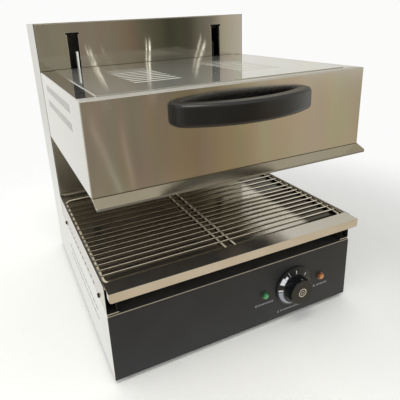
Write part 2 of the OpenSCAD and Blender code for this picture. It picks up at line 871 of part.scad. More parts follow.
// The arm's neck passes between the upper and the lower bush block
module lift_arm(s) {
    x0 = arm_x - arm_t / 2;
    z1 = plate_z1 - block[2] - 4;
    front_tab = tab_front_z + [-12, 12];
    color("silver") on_side(s) difference() {
        union() {
            translate([x0, 0, 0]) rotate([90, 0, 90]) linear_extrude(arm_t) polygon([
                [head_back, arm_z0], [neck_y, tab_z[0]], [plate_y, tab_z[0]], [plate_y, tab_z[1]],
                [neck_y, tab_z[1]], [arm_nose_y + 5, plate_z1], [arm_nose_y + 5, arm_top],
                [column_y + 2, arm_top],
                [column_y + 2, head_top + 2], [column_y - 2, head_top - 8], [head_back, head_top - 8]]);
            span([arm_x - tab_w, head_back, front_tab[0]], [arm_x, head_back + arm_t, front_tab[1]]);
            span([arm_x - tab_w, plate_y - arm_t, tab_z[0]], [arm_x, plate_y, tab_z[1]]);
        }
        on_side(1) arm_holes(tab_front_z);
        plate_holes();
    }
}

// The bolt holes of the arms' rear tabs and the carriage plate
module plate_holes() {
    for (z = [tab_z[0] + 10, tab_z[1] - 10])
        translate([arm_x - 15, plate_y - arm_t - 1, z]) y_rod(3, arm_t + plate_t + 2);
}

module arm_bolts() {
    color("silver") both() {
        for (z = tab_front_z) translate([arm_x - 15, head_back + arm_t, z]) {
            mirror([0, 1, 0]) y_rod(3, arm_t + sheet + 6);
            translate([0, -arm_t - sheet, 0]) rotate([90, 0, 0]) cylinder(r = 5.7, h = 5, $fn = 6);
        }
        for (z = [tab_z[0] + 10, tab_z[1] - 10]) translate([arm_x - 15, plate_y + plate_t, z]) {
            translate([0, -arm_t - plate_t, 0]) y_rod(3, arm_t + plate_t);
            rotate([-90, 0, 0]) cylinder(r = 5.7, h = 4, $fn = 6);
        }
    }
}

module carriage_plate() {
    color("silver") difference() {
        union() {
            span([-plate_x, plate_y, plate_z0], [plate_x, plate_y + plate_t, plate_z1]);
            both() span([rope_out - lug[0] / 2, plate_y + plate_t, lug_z],
                [rope_out + lug[0] / 2, plate_y + plate_t + lug[1], lug_z + lug[2]]);
        }
        both() plate_holes();
        both() translate([rope_out, rope_y, lug_z - 1]) cylinder(r = rope_r, h = lug[2] + 2);
    }
}

// The children at each bush block's lower middle
module at_blocks() {
    for (s = [-1, 1], z = block_z) translate([s * rod_span / 2, rod_y, z]) children();
}

module bush_blocks() {
    color("lightsteelblue") at_blocks() difference() {
        translate([-block[0] / 2, -block[1] / 2, 0]) cube(block);
        translate([0, 0, -1]) cylinder(r = rod_d / 2 + 3, h = block[2] + 2);
    }
}

module guide_bushes() {
    color("goldenrod") at_blocks() difference() {
        cylinder(r = rod_d / 2 + 3, h = block[2]);
        translate([0, 0, -1]) cylinder(r = rod_d / 2 + bush_gap, h = block[2] + 2);
    }
}

// The sheathed lead inside the head's rear, through the slot and round its bend
module heater_lead() {
    color("#4a4640") {
        translate([lead_x, head_inner_y - 20, lead_z])
            y_rod(lead_r, lead_y - lead_bend - head_inner_y + 20);
        translate([lead_x, lead_y - lead_bend, lead_z - lead_bend])
            rotate([0, -90, 0]) rotate_extrude(angle = 90) translate([lead_bend, 0]) circle(lead_r);
    }
}

// The hanging run of the lead, between the bend and the terminal block
module lead_run() {
    color("#4a4640") translate([lead_x, lead_y, lead_foot])
        cylinder(r = lead_r, h = lead_z - lead_bend - lead_foot);
}

module top_beam() {
    color("silver") difference() {
        union() {
            span([-inner_w, beam_y0, beam_top - beam_t], [inner_w, beam_y1, beam_top]);
            for (y = [beam_y0, beam_y1 - beam_t])
                span([-inner_w, y, beam_top - beam_h], [inner_w, y + beam_t, beam_top]);
        }
        at_rods() cylinder(r = rod_d / 2 - 2, h = top_z);
    }
}

module lower_beam() {
    color("silver") difference() {
        union() {
            span([-inner_w, beam_y0, lower_top - beam_t], [inner_w, lower_y1, lower_top]);
            span([-inner_w, beam_y0, lower_top - beam_h], [inner_w, beam_y0 + beam_t, lower_top]);
        }
        at_rods() cylinder(r = rod_d / 2 - 2, h = top_z);
    }
}

// The children on the floor under each guide rod
module at_rods() {
    for (s = [-1, 1]) translate([s * rod_span / 2, rod_y, 0]) children();
}

module guide_rods() {
    color("whitesmoke") at_rods() {
        translate([0, 0, lower_top]) cylinder(r = rod_d / 2, h = beam_top - beam_t - lower_top);
        translate([0, 0, rod_z0]) cylinder(r = rod_d / 2 - 2, h = beam_top + 6 - rod_z0);
    }
}

module rod_nuts() {
    color("silver") at_rods() for (z = [lower_top - beam_t - 5, beam_top]) difference() {
        translate([0, 0, z]) cylinder(r = 8, h = 5, $fn = 6);
        translate([0, 0, z - 1]) cylinder(r = rod_d / 2 - 2, h = 7);
    }
}

// A rubber ring at each end of the travel. The upper one lies under a collar clamped on the rod
module rod_buffers() {
    color("#202020") at_rods() difference() {
        for (z = [lower_top, upper_stop]) translate([0, 0, z]) cylinder(r = ring_r, h = buffer_h);
        translate([0, 0, rod_z0]) cylinder(r = rod_d / 2, h = top_z - rod_z0);
    }
}

module stop_collars() {
    color("silver") at_rods() translate([0, 0, upper_stop + buffer_h]) difference() {
        cylinder(r = ring_r, h = collar_h);
        translate([0, 0, -1]) cylinder(r = rod_d / 2, h = collar_h + 2);
    }
}

// The children at each pulley's middle, with Z turned along the axle to the front
module at_pulley(s) {
    translate([s * pulley_span / 2, rope_y, pulley_z]) rotate([90, 0, 0]) children();
}

module pulley_brackets() {
    inner = pulley_w / 2 + cheek_gap;
    color("silver") for (s = [-1, 1]) difference() {
        union() {
            for (y = [rope_y - inner - cheek_t, rope_y + inner])
                span([s * pulley_span / 2 - 12, y, pulley_z - 12],
                    [s * pulley_span / 2 + 12, y + cheek_t, beam_top - beam_t]);
            span([s * pulley_span / 2 - 12, rope_y - inner - cheek_t, beam_top - beam_t - cheek_t],
                [s * pulley_span / 2 + 12, rope_y + inner + cheek_t, beam_top - beam_t]);
        }
        at_pulley(s) cylinder(r = axle_r, h = 60, center = true);
    }
}

module pulley_axles() {
    len = pulley_w + 2 * cheek_gap + 2 * cheek_t;
    color("whitesmoke") for (s = [-1, 1]) at_pulley(s) {
        cylinder(r = axle_r, h = len, center = true);
        for (d = [-1, 1]) translate([0, 0, d * (len / 2 + 1)])
            cylinder(r = axle_r + 2, h = 2, center = true);
    }
}

module pulley(s) {
    groove = pulley_r - rope_r - slide_gap;
    color("#8a8f94") at_pulley(s) rotate_extrude($fn = 96) polygon([
        [axle_r + bush_gap, -pulley_w / 2], [9, -pulley_w / 2], [9, -3], [pulley_rim - 6, -3],
        [pulley_rim - 6, -pulley_w / 2], [pulley_rim, -pulley_w / 2], [groove, -2.2], [groove, 2.2],
        [pulley_rim, pulley_w / 2], [pulley_rim - 6, pulley_w / 2], [pulley_rim - 6, 3], [9, 3],
        [9, pulley_w / 2], [axle_r + bush_gap, pulley_w / 2]]);
}

module rope_arcs() {
    color("gray") for (s = [-1, 1]) at_pulley(s)
        rotate_extrude(angle = 180) translate([pulley_r, 0]) circle(rope_r, $fn = 24);
}

module carriage_ropes() {
    color("gray") both() {
        translate([rope_out, rope_y, lug_z]) cylinder(r = rope_r, h = pulley_z - lug_z);
        translate([rope_out, rope_y, lug_z - 6]) cylinder(r = 4, h = 6);
    }
}

module weight_ropes() {
    color("gray") both() translate([rope_in, rope_y, weight_top + eye_h])
        cylinder(r = rope_r, h = pulley_z - weight_top - eye_h);
}

module counterweight() {
    color("dimgray") difference() {
        span([-weight_w / 2, weight_y0, weight_top - weight_h],
            [weight_w / 2, weight_y0 + weight_d, weight_top]);
        both() translate([rope_in, rope_y, weight_top - 12]) cylinder(r = 3, h = 13);
    }
}

module weight_eyes() {
    color("silver") both() translate([rope_in, rope_y, weight_top]) {
        translate([0, 0, -11]) cylinder(r = 3, h = 11);
        cylinder(r = 5, h = eye_h);
    }
}

base_pan();
side_panel(-1);  // side_panel_left
side_panel(1);  // side_panel_right
rear_cover();
column_front();
column_cap();
control_panel();
panel_overlay();
base_deck();
tray_rail(-1);  // tray_rail_left
tray_rail(1);  // tray_rail_right
rail_screws();
cover_screws();
rubber_feet();
foot_screws();
thermostat_body();
thermostat_spindle();
temperature_knob();
knob_disc();
green_lens();
amber_lens();
lamp_bodies();
terminal_block();
cable_gland();
gland_nut();
drip_tray();
wire_grid();
head_shell();
head_top_panel();
head_rear_panel();
deflector();
reflector();
heating_elements();
element_supports();
element_insulators();
bow_handle();
handle_screws();
lift_arm(-1);  // lift_arm_left
lift_arm(1);  // lift_arm_right
arm_bolts();
carriage_plate();
bush_blocks();
guide_bushes();
heater_lead();
lead_run();
top_beam();
lower_beam();
guide_rods();
rod_nuts();
rod_buffers();
stop_collars();
pulley_brackets();
pulley_axles();
pulley(-1);  // pulley_left
pulley(1);  // pulley_right
rope_arcs();
carriage_ropes();
weight_ropes();
counterweight();
weight_eyes();
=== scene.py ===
# %% [markdown]
# # Rise-and-fall salamander grill: dressing a sheet-metal appliance
#
# The solids come from the CAD model and stay where they are. This lesson gives them their looks:
# the camera, brushed and polished steel, black plastics, the marks on the controls, and the studio.

# %% Load the solids
import math

import bmesh
import bpy
from mathutils import Matrix, Vector


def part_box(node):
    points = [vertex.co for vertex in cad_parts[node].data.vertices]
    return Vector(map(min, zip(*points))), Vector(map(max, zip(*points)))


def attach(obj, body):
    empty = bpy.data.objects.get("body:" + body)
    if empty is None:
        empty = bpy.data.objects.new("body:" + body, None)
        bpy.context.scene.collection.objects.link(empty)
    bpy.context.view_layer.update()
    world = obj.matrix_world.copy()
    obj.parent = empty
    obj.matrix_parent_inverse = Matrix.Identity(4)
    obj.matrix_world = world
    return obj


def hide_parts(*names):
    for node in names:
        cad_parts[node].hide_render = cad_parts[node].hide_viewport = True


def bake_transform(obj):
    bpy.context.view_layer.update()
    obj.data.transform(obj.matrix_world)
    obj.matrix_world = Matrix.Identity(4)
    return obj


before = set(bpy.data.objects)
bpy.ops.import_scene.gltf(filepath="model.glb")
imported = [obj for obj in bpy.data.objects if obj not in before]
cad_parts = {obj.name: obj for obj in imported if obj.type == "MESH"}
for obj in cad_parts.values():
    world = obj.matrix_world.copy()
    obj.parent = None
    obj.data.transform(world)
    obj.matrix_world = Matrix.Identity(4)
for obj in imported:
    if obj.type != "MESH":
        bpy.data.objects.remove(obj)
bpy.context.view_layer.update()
print("solids:", len(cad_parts))

# %% [markdown]
# ## 1. Places that everything else uses
#
# Millimetres are easier to read than metres, so one constant turns them into Blender's units. The
# front plane, the head's top and the middle of the knob come from the solids, not from typed numbers.

# %% Places
MM = 0.001


def mm(*v):
    """A point or a vector given in millimetres."""
    return Vector(v) * MM


def middle(node):
    """The middle of a node's box, in millimetres."""
    low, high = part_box(node)
    return (low + high) / (2 * MM)


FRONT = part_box("panel_overlay")[0].y / MM
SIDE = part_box("side_panel_right")[1].x / MM
HEAD_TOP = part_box("head_shell")[1].z / MM
RAIL_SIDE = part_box("tray_rail_right")[1].x / MM
KNOB, GREEN, AMBER = middle("temperature_knob"), middle("green_lens"), middle("amber_lens")
KNOB_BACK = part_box("temperature_knob")[1].y / MM
KNOB_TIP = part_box("temperature_knob")[0].y / MM
print("front plane at y %.1f mm, sides at x %.1f mm" % (FRONT, SIDE))
print("knob at x %.1f mm, z %.1f mm" % (KNOB.x, KNOB.z))

# %% [markdown]
# ## 2. The camera
#
# It stands left of the middle and a little above the column. Its three turns are a yaw to the
# right, a pitch down and a slight roll, so the view is built from its own three axes.

# %% Camera
SENSOR = 36
CAMERA_PLACE = mm(-312.8, FRONT - 498.15, 521.1)
YAW, PITCH, ROLL = 0.426, -0.343, -0.047
LENS, LENS_SHIFT = 37.88, (0.0264, -0.0853)


def turned_camera(place, yaw, pitch, roll, lens, shift):
    """The scene's camera at `place`, turned by yaw, pitch and roll in radians."""
    ahead = Vector((math.sin(yaw) * math.cos(pitch), math.cos(yaw) * math.cos(pitch), math.sin(pitch)))
    right = Vector((math.cos(yaw), -math.sin(yaw), 0))
    up = right.cross(ahead)
    side = right * math.cos(roll) + up * math.sin(roll)
    top = up * math.cos(roll) - right * math.sin(roll)
    data = bpy.data.cameras.new("camera")
    data.sensor_width = SENSOR
    data.lens = lens
    data.shift_x, data.shift_y = shift
    data.clip_start = 10 * MM
    data.dof.use_dof = False
    cam = bpy.data.objects.new("camera", data)
    cam.matrix_world = Matrix.Translation(place) @ Matrix((side, top, -ahead)).transposed().to_4x4()
    bpy.context.scene.collection.objects.link(cam)
    bpy.context.scene.camera = cam
    return cam


camera = turned_camera(CAMERA_PLACE, YAW, PITCH, ROLL, LENS, LENS_SHIFT)
print("camera: lens %.1f mm, %.0f mm above the floor" % (camera.data.lens, camera.location.z / MM))

# %% [markdown]
# ## 3. Helpers for node materials
#
# A colour is written as the sRGB hex that an eye would pick, and turned into linear light once. A
# node is added by one call that also gives its settings and links, so a material reads from top to
# bottom like a recipe. A Mix node has inputs of the same name for every kind of data, so they go by
# number: 0 is the share, 2 and 3 are plain values, and 6 and 7 are colours.

# %% Node helpers
def srgb(code):
    """A linear RGBA colour from an sRGB hex code such as "8a8f94"."""
    parts = [int(code[i:i + 2], 16) / 255 for i in (0, 2, 4)]
    return tuple(c / 12.92 if c <= 0.04045 else ((c + 0.055) / 1.055) ** 2.4 for c in parts) + (1.0,)


def shifted(code, red, green, blue):
    """A hex colour with something added to each part."""
    parts = [int(code[i:i + 2], 16) for i in (0, 2, 4)]
    return "%02x%02x%02x" % tuple(min(255, max(0, p + d)) for p, d in zip(parts, (red, green, blue)))


def add(tree, kind, inputs=None, **settings):
    """A new node. `inputs` maps a socket's name or number to a value or to another node's output."""
    node = tree.nodes.new(kind)
    for key, value in settings.items():
        setattr(node, key, value)
    for key, value in (inputs or {}).items():
        if isinstance(value, bpy.types.NodeSocket):
            tree.links.new(value, node.inputs[key])
        else:
            node.inputs[key].default_value = value
    return node


def axes(tree, output):
    """The x, y and z of a texture coordinate, such as "Object" or "Normal"."""
    where = add(tree, "ShaderNodeTexCoord").outputs[output]
    return add(tree, "ShaderNodeSeparateXYZ", {0: where}).outputs


def blank(name):
    """A material with an empty node tree."""
    material = bpy.data.materials.new(name)
    material.use_nodes = True
    material.node_tree.nodes.clear()
    return material, material.node_tree


def finish(material, inputs):
    """Gives a material its surface, made of these inputs."""
    tree = material.node_tree
    shader = add(tree, "ShaderNodeBsdfPrincipled", inputs)
    add(tree, "ShaderNodeOutputMaterial", {"Surface": shader.outputs[0]})
    print("finish:", material.name)
    return material


# %% [markdown]
# Almost every real surface is a little uneven: in gloss, in tint, in flatness. One recipe makes
# such a pattern from noise, with patches of a size in millimetres, stretched along an axis where
# rolling or brushing has drawn them out. Noise seldom leaves the middle of its range, so that part
# alone is spread over the wanted values.

# %% Uneven patterns
NOISE_LOW, NOISE_HIGH = 0.3, 0.7


def patches(tree, size, low, high, stretch=(1, 1, 1), detail=2.0):
    """A soft pattern with patches about `size` mm across, which runs from `low` to `high`."""
    where = add(tree, "ShaderNodeTexCoord").outputs["Object"]
    drawn = add(tree, "ShaderNodeMapping", {"Vector": where, "Scale": stretch}).outputs[0]
    noise = add(tree, "ShaderNodeTexNoise", {"Vector": drawn, "Scale": 1 / (size * MM), "Detail": detail})
    return add(tree, "ShaderNodeMapRange", {"Value": noise.outputs["Fac"], "From Min": NOISE_LOW,
                                            "From Max": NOISE_HIGH, "To Min": low, "To Max": high}).outputs[0]


# %% [markdown]
# ## 4. Stainless steel sheet
#
# Cold-rolled 1.2 mm stainless steel, fine brushed along its length. The brush lines, far finer than
# a pixel, stretch a reflection across themselves, which is what anisotropy does: its tangent stands
# upright on the walls and runs front to back on the top. No sheet is flat, so a slow wave of a
# tenth of a millimetre bends the reflections. A film of kitchen grease, thinner than a hair, adds a
# dull coat that hardly shows head on and veils the metal at a flat angle. The bevel node rounds
# the cut edges, which gives them their thin bright line.

# %% Brushing
def brushing(tree):
    """How far a face looks up (0 to 1), and the tangent of horizontal brush lines on it."""
    up = add(tree, "ShaderNodeMath", {0: axes(tree, "Normal")["Z"]}, operation="ABSOLUTE").outputs[0]
    upright = add(tree, "ShaderNodeMath", {0: 1.0, 1: up}, operation="SUBTRACT").outputs[0]
    return up, add(tree, "ShaderNodeCombineXYZ", {"Y": up, "Z": upright}).outputs[0]


# %% [markdown]
# Inside a housing hardly any light arrives, so a slot reads as a dark line. Only the outermost tenths
# of a millimetre keep the steel. Deeper in, on the walls of the slots and on the inner side, a
# near-black painted shade with no metal takes its place, and a mask by depth below the outer faces
# draws that border.

# %% Painted shade on the inner side
SKIN = 0.15
NO_LIMIT = 1000
# Near-black painted shade for the inner side and the slot walls.
INNER_SHADE_COLOR = "1b1a18"


def within(tree, mask, *limits):
    """A mask cut off by limits: each is a value, the way to compare it, and a place in millimetres."""
    for value, comparison, place in limits:
        kept = add(tree, "ShaderNodeMath", {0: value, 1: place * MM}, operation=comparison).outputs[0]
        mask = add(tree, "ShaderNodeMath", {0: mask, 1: kept}, operation="MULTIPLY").outputs[0]
    return mask


def inner_shade_mask(tree, side, depth, back, under=NO_LIMIT):
    """Mask of the painted inner shade: 1 within `depth` mm below the side skin, behind `back` and lower than
    `under` (all mm), else 0.
    """
    place = axes(tree, "Object")
    aside = add(tree, "ShaderNodeMath", {0: place["X"]}, operation="ABSOLUTE").outputs[0]
    return within(tree, 1.0, (aside, "LESS_THAN", side - SKIN), (aside, "GREATER_THAN", side - depth),
                  (place["Y"], "GREATER_THAN", back), (place["Z"], "LESS_THAN", under))


# %% [markdown]
# Heat, grease and hands mark each sheet in places of its own. The tray's right end is darkened as a
# painted reflection, the side panels turn greyer beside the hot head, the column is dulled below it,
# and the head's top rim is worn at the front. Each mark is a small function that takes the colour or
# the gloss so far and gives it back with the mark.

# %% Marks of use and painted reflections
# On the side panels this band is a heat tint; on the tray it is a painted dark reflection.
def heat_tint_and_reflection_band(tree, tone, axis, start, full, color, below=NO_LIMIT, behind=-NO_LIMIT):
    """The colour turns into another one between two places on an axis, below a height and behind a plane."""
    place = axes(tree, "Object")
    grown = add(tree, "ShaderNodeMapRange", {"Value": place[axis], "From Min": start * MM,
                                             "From Max": full * MM}).outputs[0]
    grown = within(tree, grown, (place["Z"], "LESS_THAN", below), (place["Y"], "GREATER_THAN", behind))
    return add(tree, "ShaderNodeMix", {0: grown, 6: tone, 7: srgb(color)}, data_type="RGBA").outputs[2]


def lip_painted_reflection(tree, tone, color):
    """A painted reflection: another colour on the faces that look straight to the front, such as a
    turned-down lip.
    """
    fore = add(tree, "ShaderNodeMath", {0: axes(tree, "Normal")["Y"], 1: -0.8},
               operation="LESS_THAN").outputs[0]
    return add(tree, "ShaderNodeMix", {0: fore, 6: tone, 7: srgb(color)}, data_type="RGBA").outputs[2]


def heat_dulled(tree, gloss, below, rough):
    """Another gloss below a height, where the heat has dulled the sheet."""
    low = within(tree, 1.0, (axes(tree, "Object")["Z"], "LESS_THAN", below))
    return add(tree, "ShaderNodeMix", {0: low, 2: gloss, 3: rough}, data_type="FLOAT").outputs[0]


def rim_worn(tree, gloss, up, reach, worn, rest):
    """Another gloss on the faces that look up: worn in front of a plane, and bright behind it."""
    fore = within(tree, 1.0, (axes(tree, "Object")["Y"], "LESS_THAN", reach))
    top = add(tree, "ShaderNodeMix", {0: fore, 2: rest, 3: patches(tree, 30, worn, worn + 0.06)},
              data_type="FLOAT").outputs[0]
    return add(tree, "ShaderNodeMix", {0: up, 2: gloss, 3: top}, data_type="FLOAT").outputs[0]


def jamb_dulled(tree, gloss, rough):
    """Another gloss on the faces that look sideways, such as the cut sides of a slot."""
    aside = add(tree, "ShaderNodeMath", {0: axes(tree, "Normal")["X"]}, operation="ABSOLUTE").outputs[0]
    return add(tree, "ShaderNodeMix", {0: aside, 2: gloss, 3: rough}, data_type="FLOAT").outputs[0]


# %% Sheet steel
def sheet_steel(name, color, rough, aniso, wave=0.05, smear=0.03, haze=0.0, dust=0.0, edge=0.5,
                heat_tint_and_reflection=None, lip=None, heat=None, rim=None, jamb=None, inner_shade=None):
    """Brushed stainless sheet: its gloss with smears, its waves in mm, a haze of grease, some dust, the
    radius of its edges in mm, and the marks, painted shade and painted reflections that it has, each
    given with its function's settings."""
    material, tree = blank(name)
    up, tangent = brushing(tree)
    gloss = patches(tree, 60, rough, rough + smear, detail=3)
    tone = add(tree, "ShaderNodeMix", {0: patches(tree, 160, 0, 1, stretch=(1, 1, 0.15)), 6: srgb(color),
                                       7: srgb(shifted(color, -4, -5, -8))}, data_type="RGBA").outputs[2]
    metal = 1.0 - dust
    if heat_tint_and_reflection:
        tone = heat_tint_and_reflection_band(tree, tone, **heat_tint_and_reflection)
    if lip:
        tone = lip_painted_reflection(tree, tone, lip)
    if heat:
        gloss = heat_dulled(tree, gloss, **heat)
    if rim:
        gloss = rim_worn(tree, gloss, up, **rim)
    if jamb:
        gloss = jamb_dulled(tree, gloss, jamb)
    # The inner side and the walls of the slots get a painted shade: near black, matt and not metal.
    if inner_shade:
        mask = inner_shade_mask(tree, **inner_shade)
        tone = add(tree, "ShaderNodeMix", {0: mask, 6: tone, 7: srgb(INNER_SHADE_COLOR)}, data_type="RGBA").outputs[2]
        gloss = add(tree, "ShaderNodeMath", {0: gloss, 1: mask}, operation="MAXIMUM").outputs[0]
        metal = add(tree, "ShaderNodeMath", {0: 1.0, 1: mask}, operation="SUBTRACT").outputs[0]
    edges = add(tree, "ShaderNodeBevel", {"Radius": edge * MM}, samples=4).outputs[0]
    bent = add(tree, "ShaderNodeBump", {"Strength": 1.0, "Distance": wave * MM, "Normal": edges,
                                        "Height": patches(tree, 120, 0, 1, detail=1)}).outputs[0]
    return finish(material, {"Base Color": tone, "Metallic": metal, "Roughness": gloss, "Anisotropic": aniso,
                             "Tangent": tangent, "Normal": bent, "Coat Weight": haze, "Coat Roughness": 0.4})


# %% [markdown]
# Each sheet has its own history. The column and the lid still mirror, the tray has been scrubbed and
# has a painted dark reflection at its right end, and the side panels, the rails and the control panel
# are dull. The head, the side panels and the rails get a painted shade on their inner side. The head's
# underside and the grid's frame bound some of the marks, so the marks stay with the pieces.

# %% The steel sheets
STEEL = "cdcac4"
HEAD_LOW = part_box("head_shell")[0].z / MM
GRID_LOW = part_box("wire_grid")[0].z / MM
steel_head = sheet_steel("stainless_brushed", STEEL, rough=0.085, aniso=0.9, wave=0.12, smear=0.02, haze=0.35,
                         rim=dict(reach=FRONT + 19, worn=0.22, rest=0.05),
                         inner_shade=dict(side=SIDE, depth=3, back=FRONT + 6, under=HEAD_TOP - 6))
# The deflector's turned-down lip gets a cool grey as a painted reflection.
steel_deflector = sheet_steel("stainless_brushed_deflector", "bdb6a4", rough=0.13, aniso=0.8, lip="9da0a2")
steel_column = sheet_steel("stainless_fine_brushed", STEEL, rough=0.035, aniso=0.9, wave=0.10, smear=0.005,
                           edge=1.2, heat=dict(below=HEAD_LOW, rough=0.22), jamb=0.5)
steel_side = sheet_steel("stainless_brushed_side", "e6e6e5", rough=0.24, aniso=0.5,
                         heat_tint_and_reflection=dict(axis="Z", start=160, full=380, color="c3c0b8"),
                         inner_shade=dict(side=SIDE, depth=2.4, back=FRONT + 3))
steel_rail = sheet_steel("stainless_brushed_rail", "d0cdc7", rough=0.24, aniso=0.5,
                         inner_shade=dict(side=RAIL_SIDE, depth=40, back=FRONT - 50))
steel_lid = sheet_steel("stainless_bright_rolled", "cbcdc4", rough=0.03, aniso=0.3, wave=0.12, smear=0.01,
                        haze=0.6, dust=0.17, edge=1.0)
# The tray's right end, low and behind the front rim, is darkened as a painted reflection.
steel_tray = sheet_steel("stainless_bright_tray", STEEL, rough=0.12, aniso=0.3, smear=0.04, dust=0.05,
                         heat_tint_and_reflection=dict(axis="X", start=144, full=158, color="3f3b33", below=GRID_LOW + 4,
                                    behind=FRONT + 12))
steel_panel = sheet_steel("stainless_brushed_panel", "dcdad4", rough=0.30, aniso=0.4)

# %% [markdown]
# The sheets that nobody looks at are plainer: galvanised, and duller. The beams, the carriage and the
# right arm that show through the narrow slots are black, a painted shade that keeps the slots dark. The
# left arm is white, a painted highlight, so it shows as a bright upright in its slot. The zinc of the
# base, the element supports and the pulley brackets is darkened as a painted shade.

# %% Plain sheets
def plain_sheet(name, color, rough, metallic, grain=2.0):
    """Zinc-coated or painted sheet, or a sheet in a painted shade or highlight, with the mottled gloss of its
    coat.
    """
    material, tree = blank(name)
    tone = add(tree, "ShaderNodeMix", {0: patches(tree, 12, 0, 1, detail=4), 6: srgb(color),
                                       7: srgb(shifted(color, -10, -10, -10))}, data_type="RGBA").outputs[2]
    coat = add(tree, "ShaderNodeBump", {"Strength": 0.5, "Distance": 0.02 * MM,
                                        "Height": patches(tree, grain, 0, 1)}).outputs[0]
    return finish(material, {"Base Color": tone, "Metallic": metallic, "Normal": coat,
                             "Roughness": patches(tree, 25, rough - 0.05, rough + 0.05)})


galvanised = plain_sheet("galvanised_steel", "a9abaa", rough=0.42, metallic=1.0)
# Zinc darkened as a painted shade inside the base and the column.
zinc_painted_shade = plain_sheet("galvanised_steel_painted_shade", "5c5c5a", rough=0.55, metallic=0.6)
# White as a painted highlight on the left arm in its slot.
arm_painted_highlight = plain_sheet("white_steel_painted_highlight", "f2f1ec", rough=0.35, metallic=0.0)
# Black as a painted shade for the pieces that show through the slots.
slot_shade_black = plain_sheet("black_steel_slot_shade", "161616", rough=0.6, metallic=0.0)
reflector_steel = plain_sheet("aluminised_steel", "9a9384", rough=0.30, metallic=1.0)

# %% [markdown]
# ## 5. Wire, turned metal and cast iron
#
# Turned pieces and rods get a fine, even gloss. The wire rope is given a grain instead of strands,
# because nobody sees it without opening the column.

# %% Small metals
def bar_metal(name, color, rough, grain=0.3, depth=0.004):
    """Drawn, turned, plated or stranded metal with an uneven gloss and a fine grain."""
    material, tree = blank(name)
    skin = add(tree, "ShaderNodeBump", {"Strength": 0.6, "Distance": depth * MM,
                                        "Height": patches(tree, grain, 0, 1)}).outputs[0]
    tone = add(tree, "ShaderNodeMix", {0: patches(tree, 20, 0, 1), 6: srgb(color),
                                       7: srgb(shifted(color, -8, -9, -12))}, data_type="RGBA").outputs[2]
    return finish(material, {"Base Color": tone, "Metallic": 1.0, "Normal": skin,
                             "Roughness": patches(tree, 8, rough - 0.03, rough + 0.05)})


zinc_screws = bar_metal("zinc_plated_screws", "c4c2bc", rough=0.28)
# Black oxide, which on the arm bolts in the slots also stands for their painted shade.
black_oxide_and_slot_shade = bar_metal("black_oxide_screws_and_slot_shade", "2c2a28", rough=0.40)
chrome_rod = bar_metal("ground_chrome", "dcdcdc", rough=0.08)
turned_aluminium = bar_metal("turned_aluminium", "cfcfcd", rough=0.28)
bush_bronze = bar_metal("sintered_bronze", "c9a25a", rough=0.35)
wire_rope = bar_metal("stranded_wire_rope", "8f8f8c", rough=0.45, grain=0.8, depth=0.15)

# %% [markdown]
# The grid is nickel plate on welded wire. Each rod gets one thin painted highlight: a bright colour on
# the faces that look up, and a brown painted shade on the flanks below. How far a face looks up draws
# the border between the two. The frame under the rods gets a pale, dull painted light on its crests.

# %% Grid wire
FRAME_TOP = GRID_LOW + 5.6


def wire_painted_highlight(name, bright, flank_shade, frame_light, rough, frame_top):
    """Plated wire: painted highlight on the crests, painted shade on the flanks, and pale painted light on
    the crests below `frame_top` mm.
    """
    material, tree = blank(name)
    smudges = patches(tree, 14, -0.08, 0.08)
    worn = add(tree, "ShaderNodeMath", {0: axes(tree, "Normal")["Z"], 1: smudges}, operation="ADD").outputs[0]
    # Faces that look up get the highlight colour, and the flanks get the painted shade.
    crest = add(tree, "ShaderNodeMapRange", {"Value": worn, "From Min": 0.32, "From Max": 0.55}).outputs[0]
    tone = add(tree, "ShaderNodeMix", {0: crest, 6: srgb(flank_shade), 7: srgb(bright)},
               data_type="RGBA").outputs[2]
    # The frame's crests get a pale, dull painted light in place of a highlight.
    scale = within(tree, crest, (axes(tree, "Object")["Z"], "LESS_THAN", frame_top))
    tone = add(tree, "ShaderNodeMix", {0: scale, 6: tone, 7: srgb(frame_light)}, data_type="RGBA").outputs[2]
    metal = add(tree, "ShaderNodeMapRange", {"Value": scale, "To Min": 1.0, "To Max": 0.1}).outputs[0]
    gloss = add(tree, "ShaderNodeMapRange", {"Value": scale, "To Min": rough, "To Max": 0.35}).outputs[0]
    return finish(material, {"Base Color": tone, "Metallic": metal, "Roughness": gloss})


nickel_wire = wire_painted_highlight("nickel_plated_wire", bright="f3ecdc", flank_shade="8a806a", frame_light="f4ead2",
                            rough=0.12, frame_top=FRAME_TOP)

# %% [markdown]
# A heating element's sheath starts as bright alloy and oxidises into browns and greys within the
# first hours, unevenly, because its hot middle changes more than its ends. The counterweight is
# painted cast iron, so the pebbled casting skin shows through the paint.

# %% Sheath and casting
def rough_body(name, light, dark, rough, metallic, grain, depth):
    """A heat-stained or cast surface: two tones in patches and a coarse skin."""
    material, tree = blank(name)
    tone = add(tree, "ShaderNodeMix", {0: patches(tree, 18, 0, 1, detail=5), 6: srgb(light), 7: srgb(dark)},
               data_type="RGBA").outputs[2]
    skin = add(tree, "ShaderNodeBump", {"Strength": 0.8, "Distance": depth * MM,
                                        "Height": patches(tree, grain, 0, 1, detail=4)}).outputs[0]
    return finish(material, {"Base Color": tone, "Metallic": metallic, "Roughness": rough, "Normal": skin})


element_sheath = rough_body("oxidised_alloy_sheath", "5a5048", "37332e", rough=0.55, metallic=0.8, grain=1.5,
                            depth=0.03)
cast_iron = rough_body("painted_cast_iron", "37393d", "2c2d30", rough=0.55, metallic=0.0, grain=2.5,
                       depth=0.2)

# %% [markdown]
# ## 6. Plastics, rubber, ceramic and sleeve
#
# Moulded pieces carry the fine eroded texture of their mould, about a tenth of a millimetre, which
# turns a hard highlight into a satin one. Hands polish it unevenly. The bevel node softens the
# parting edges.

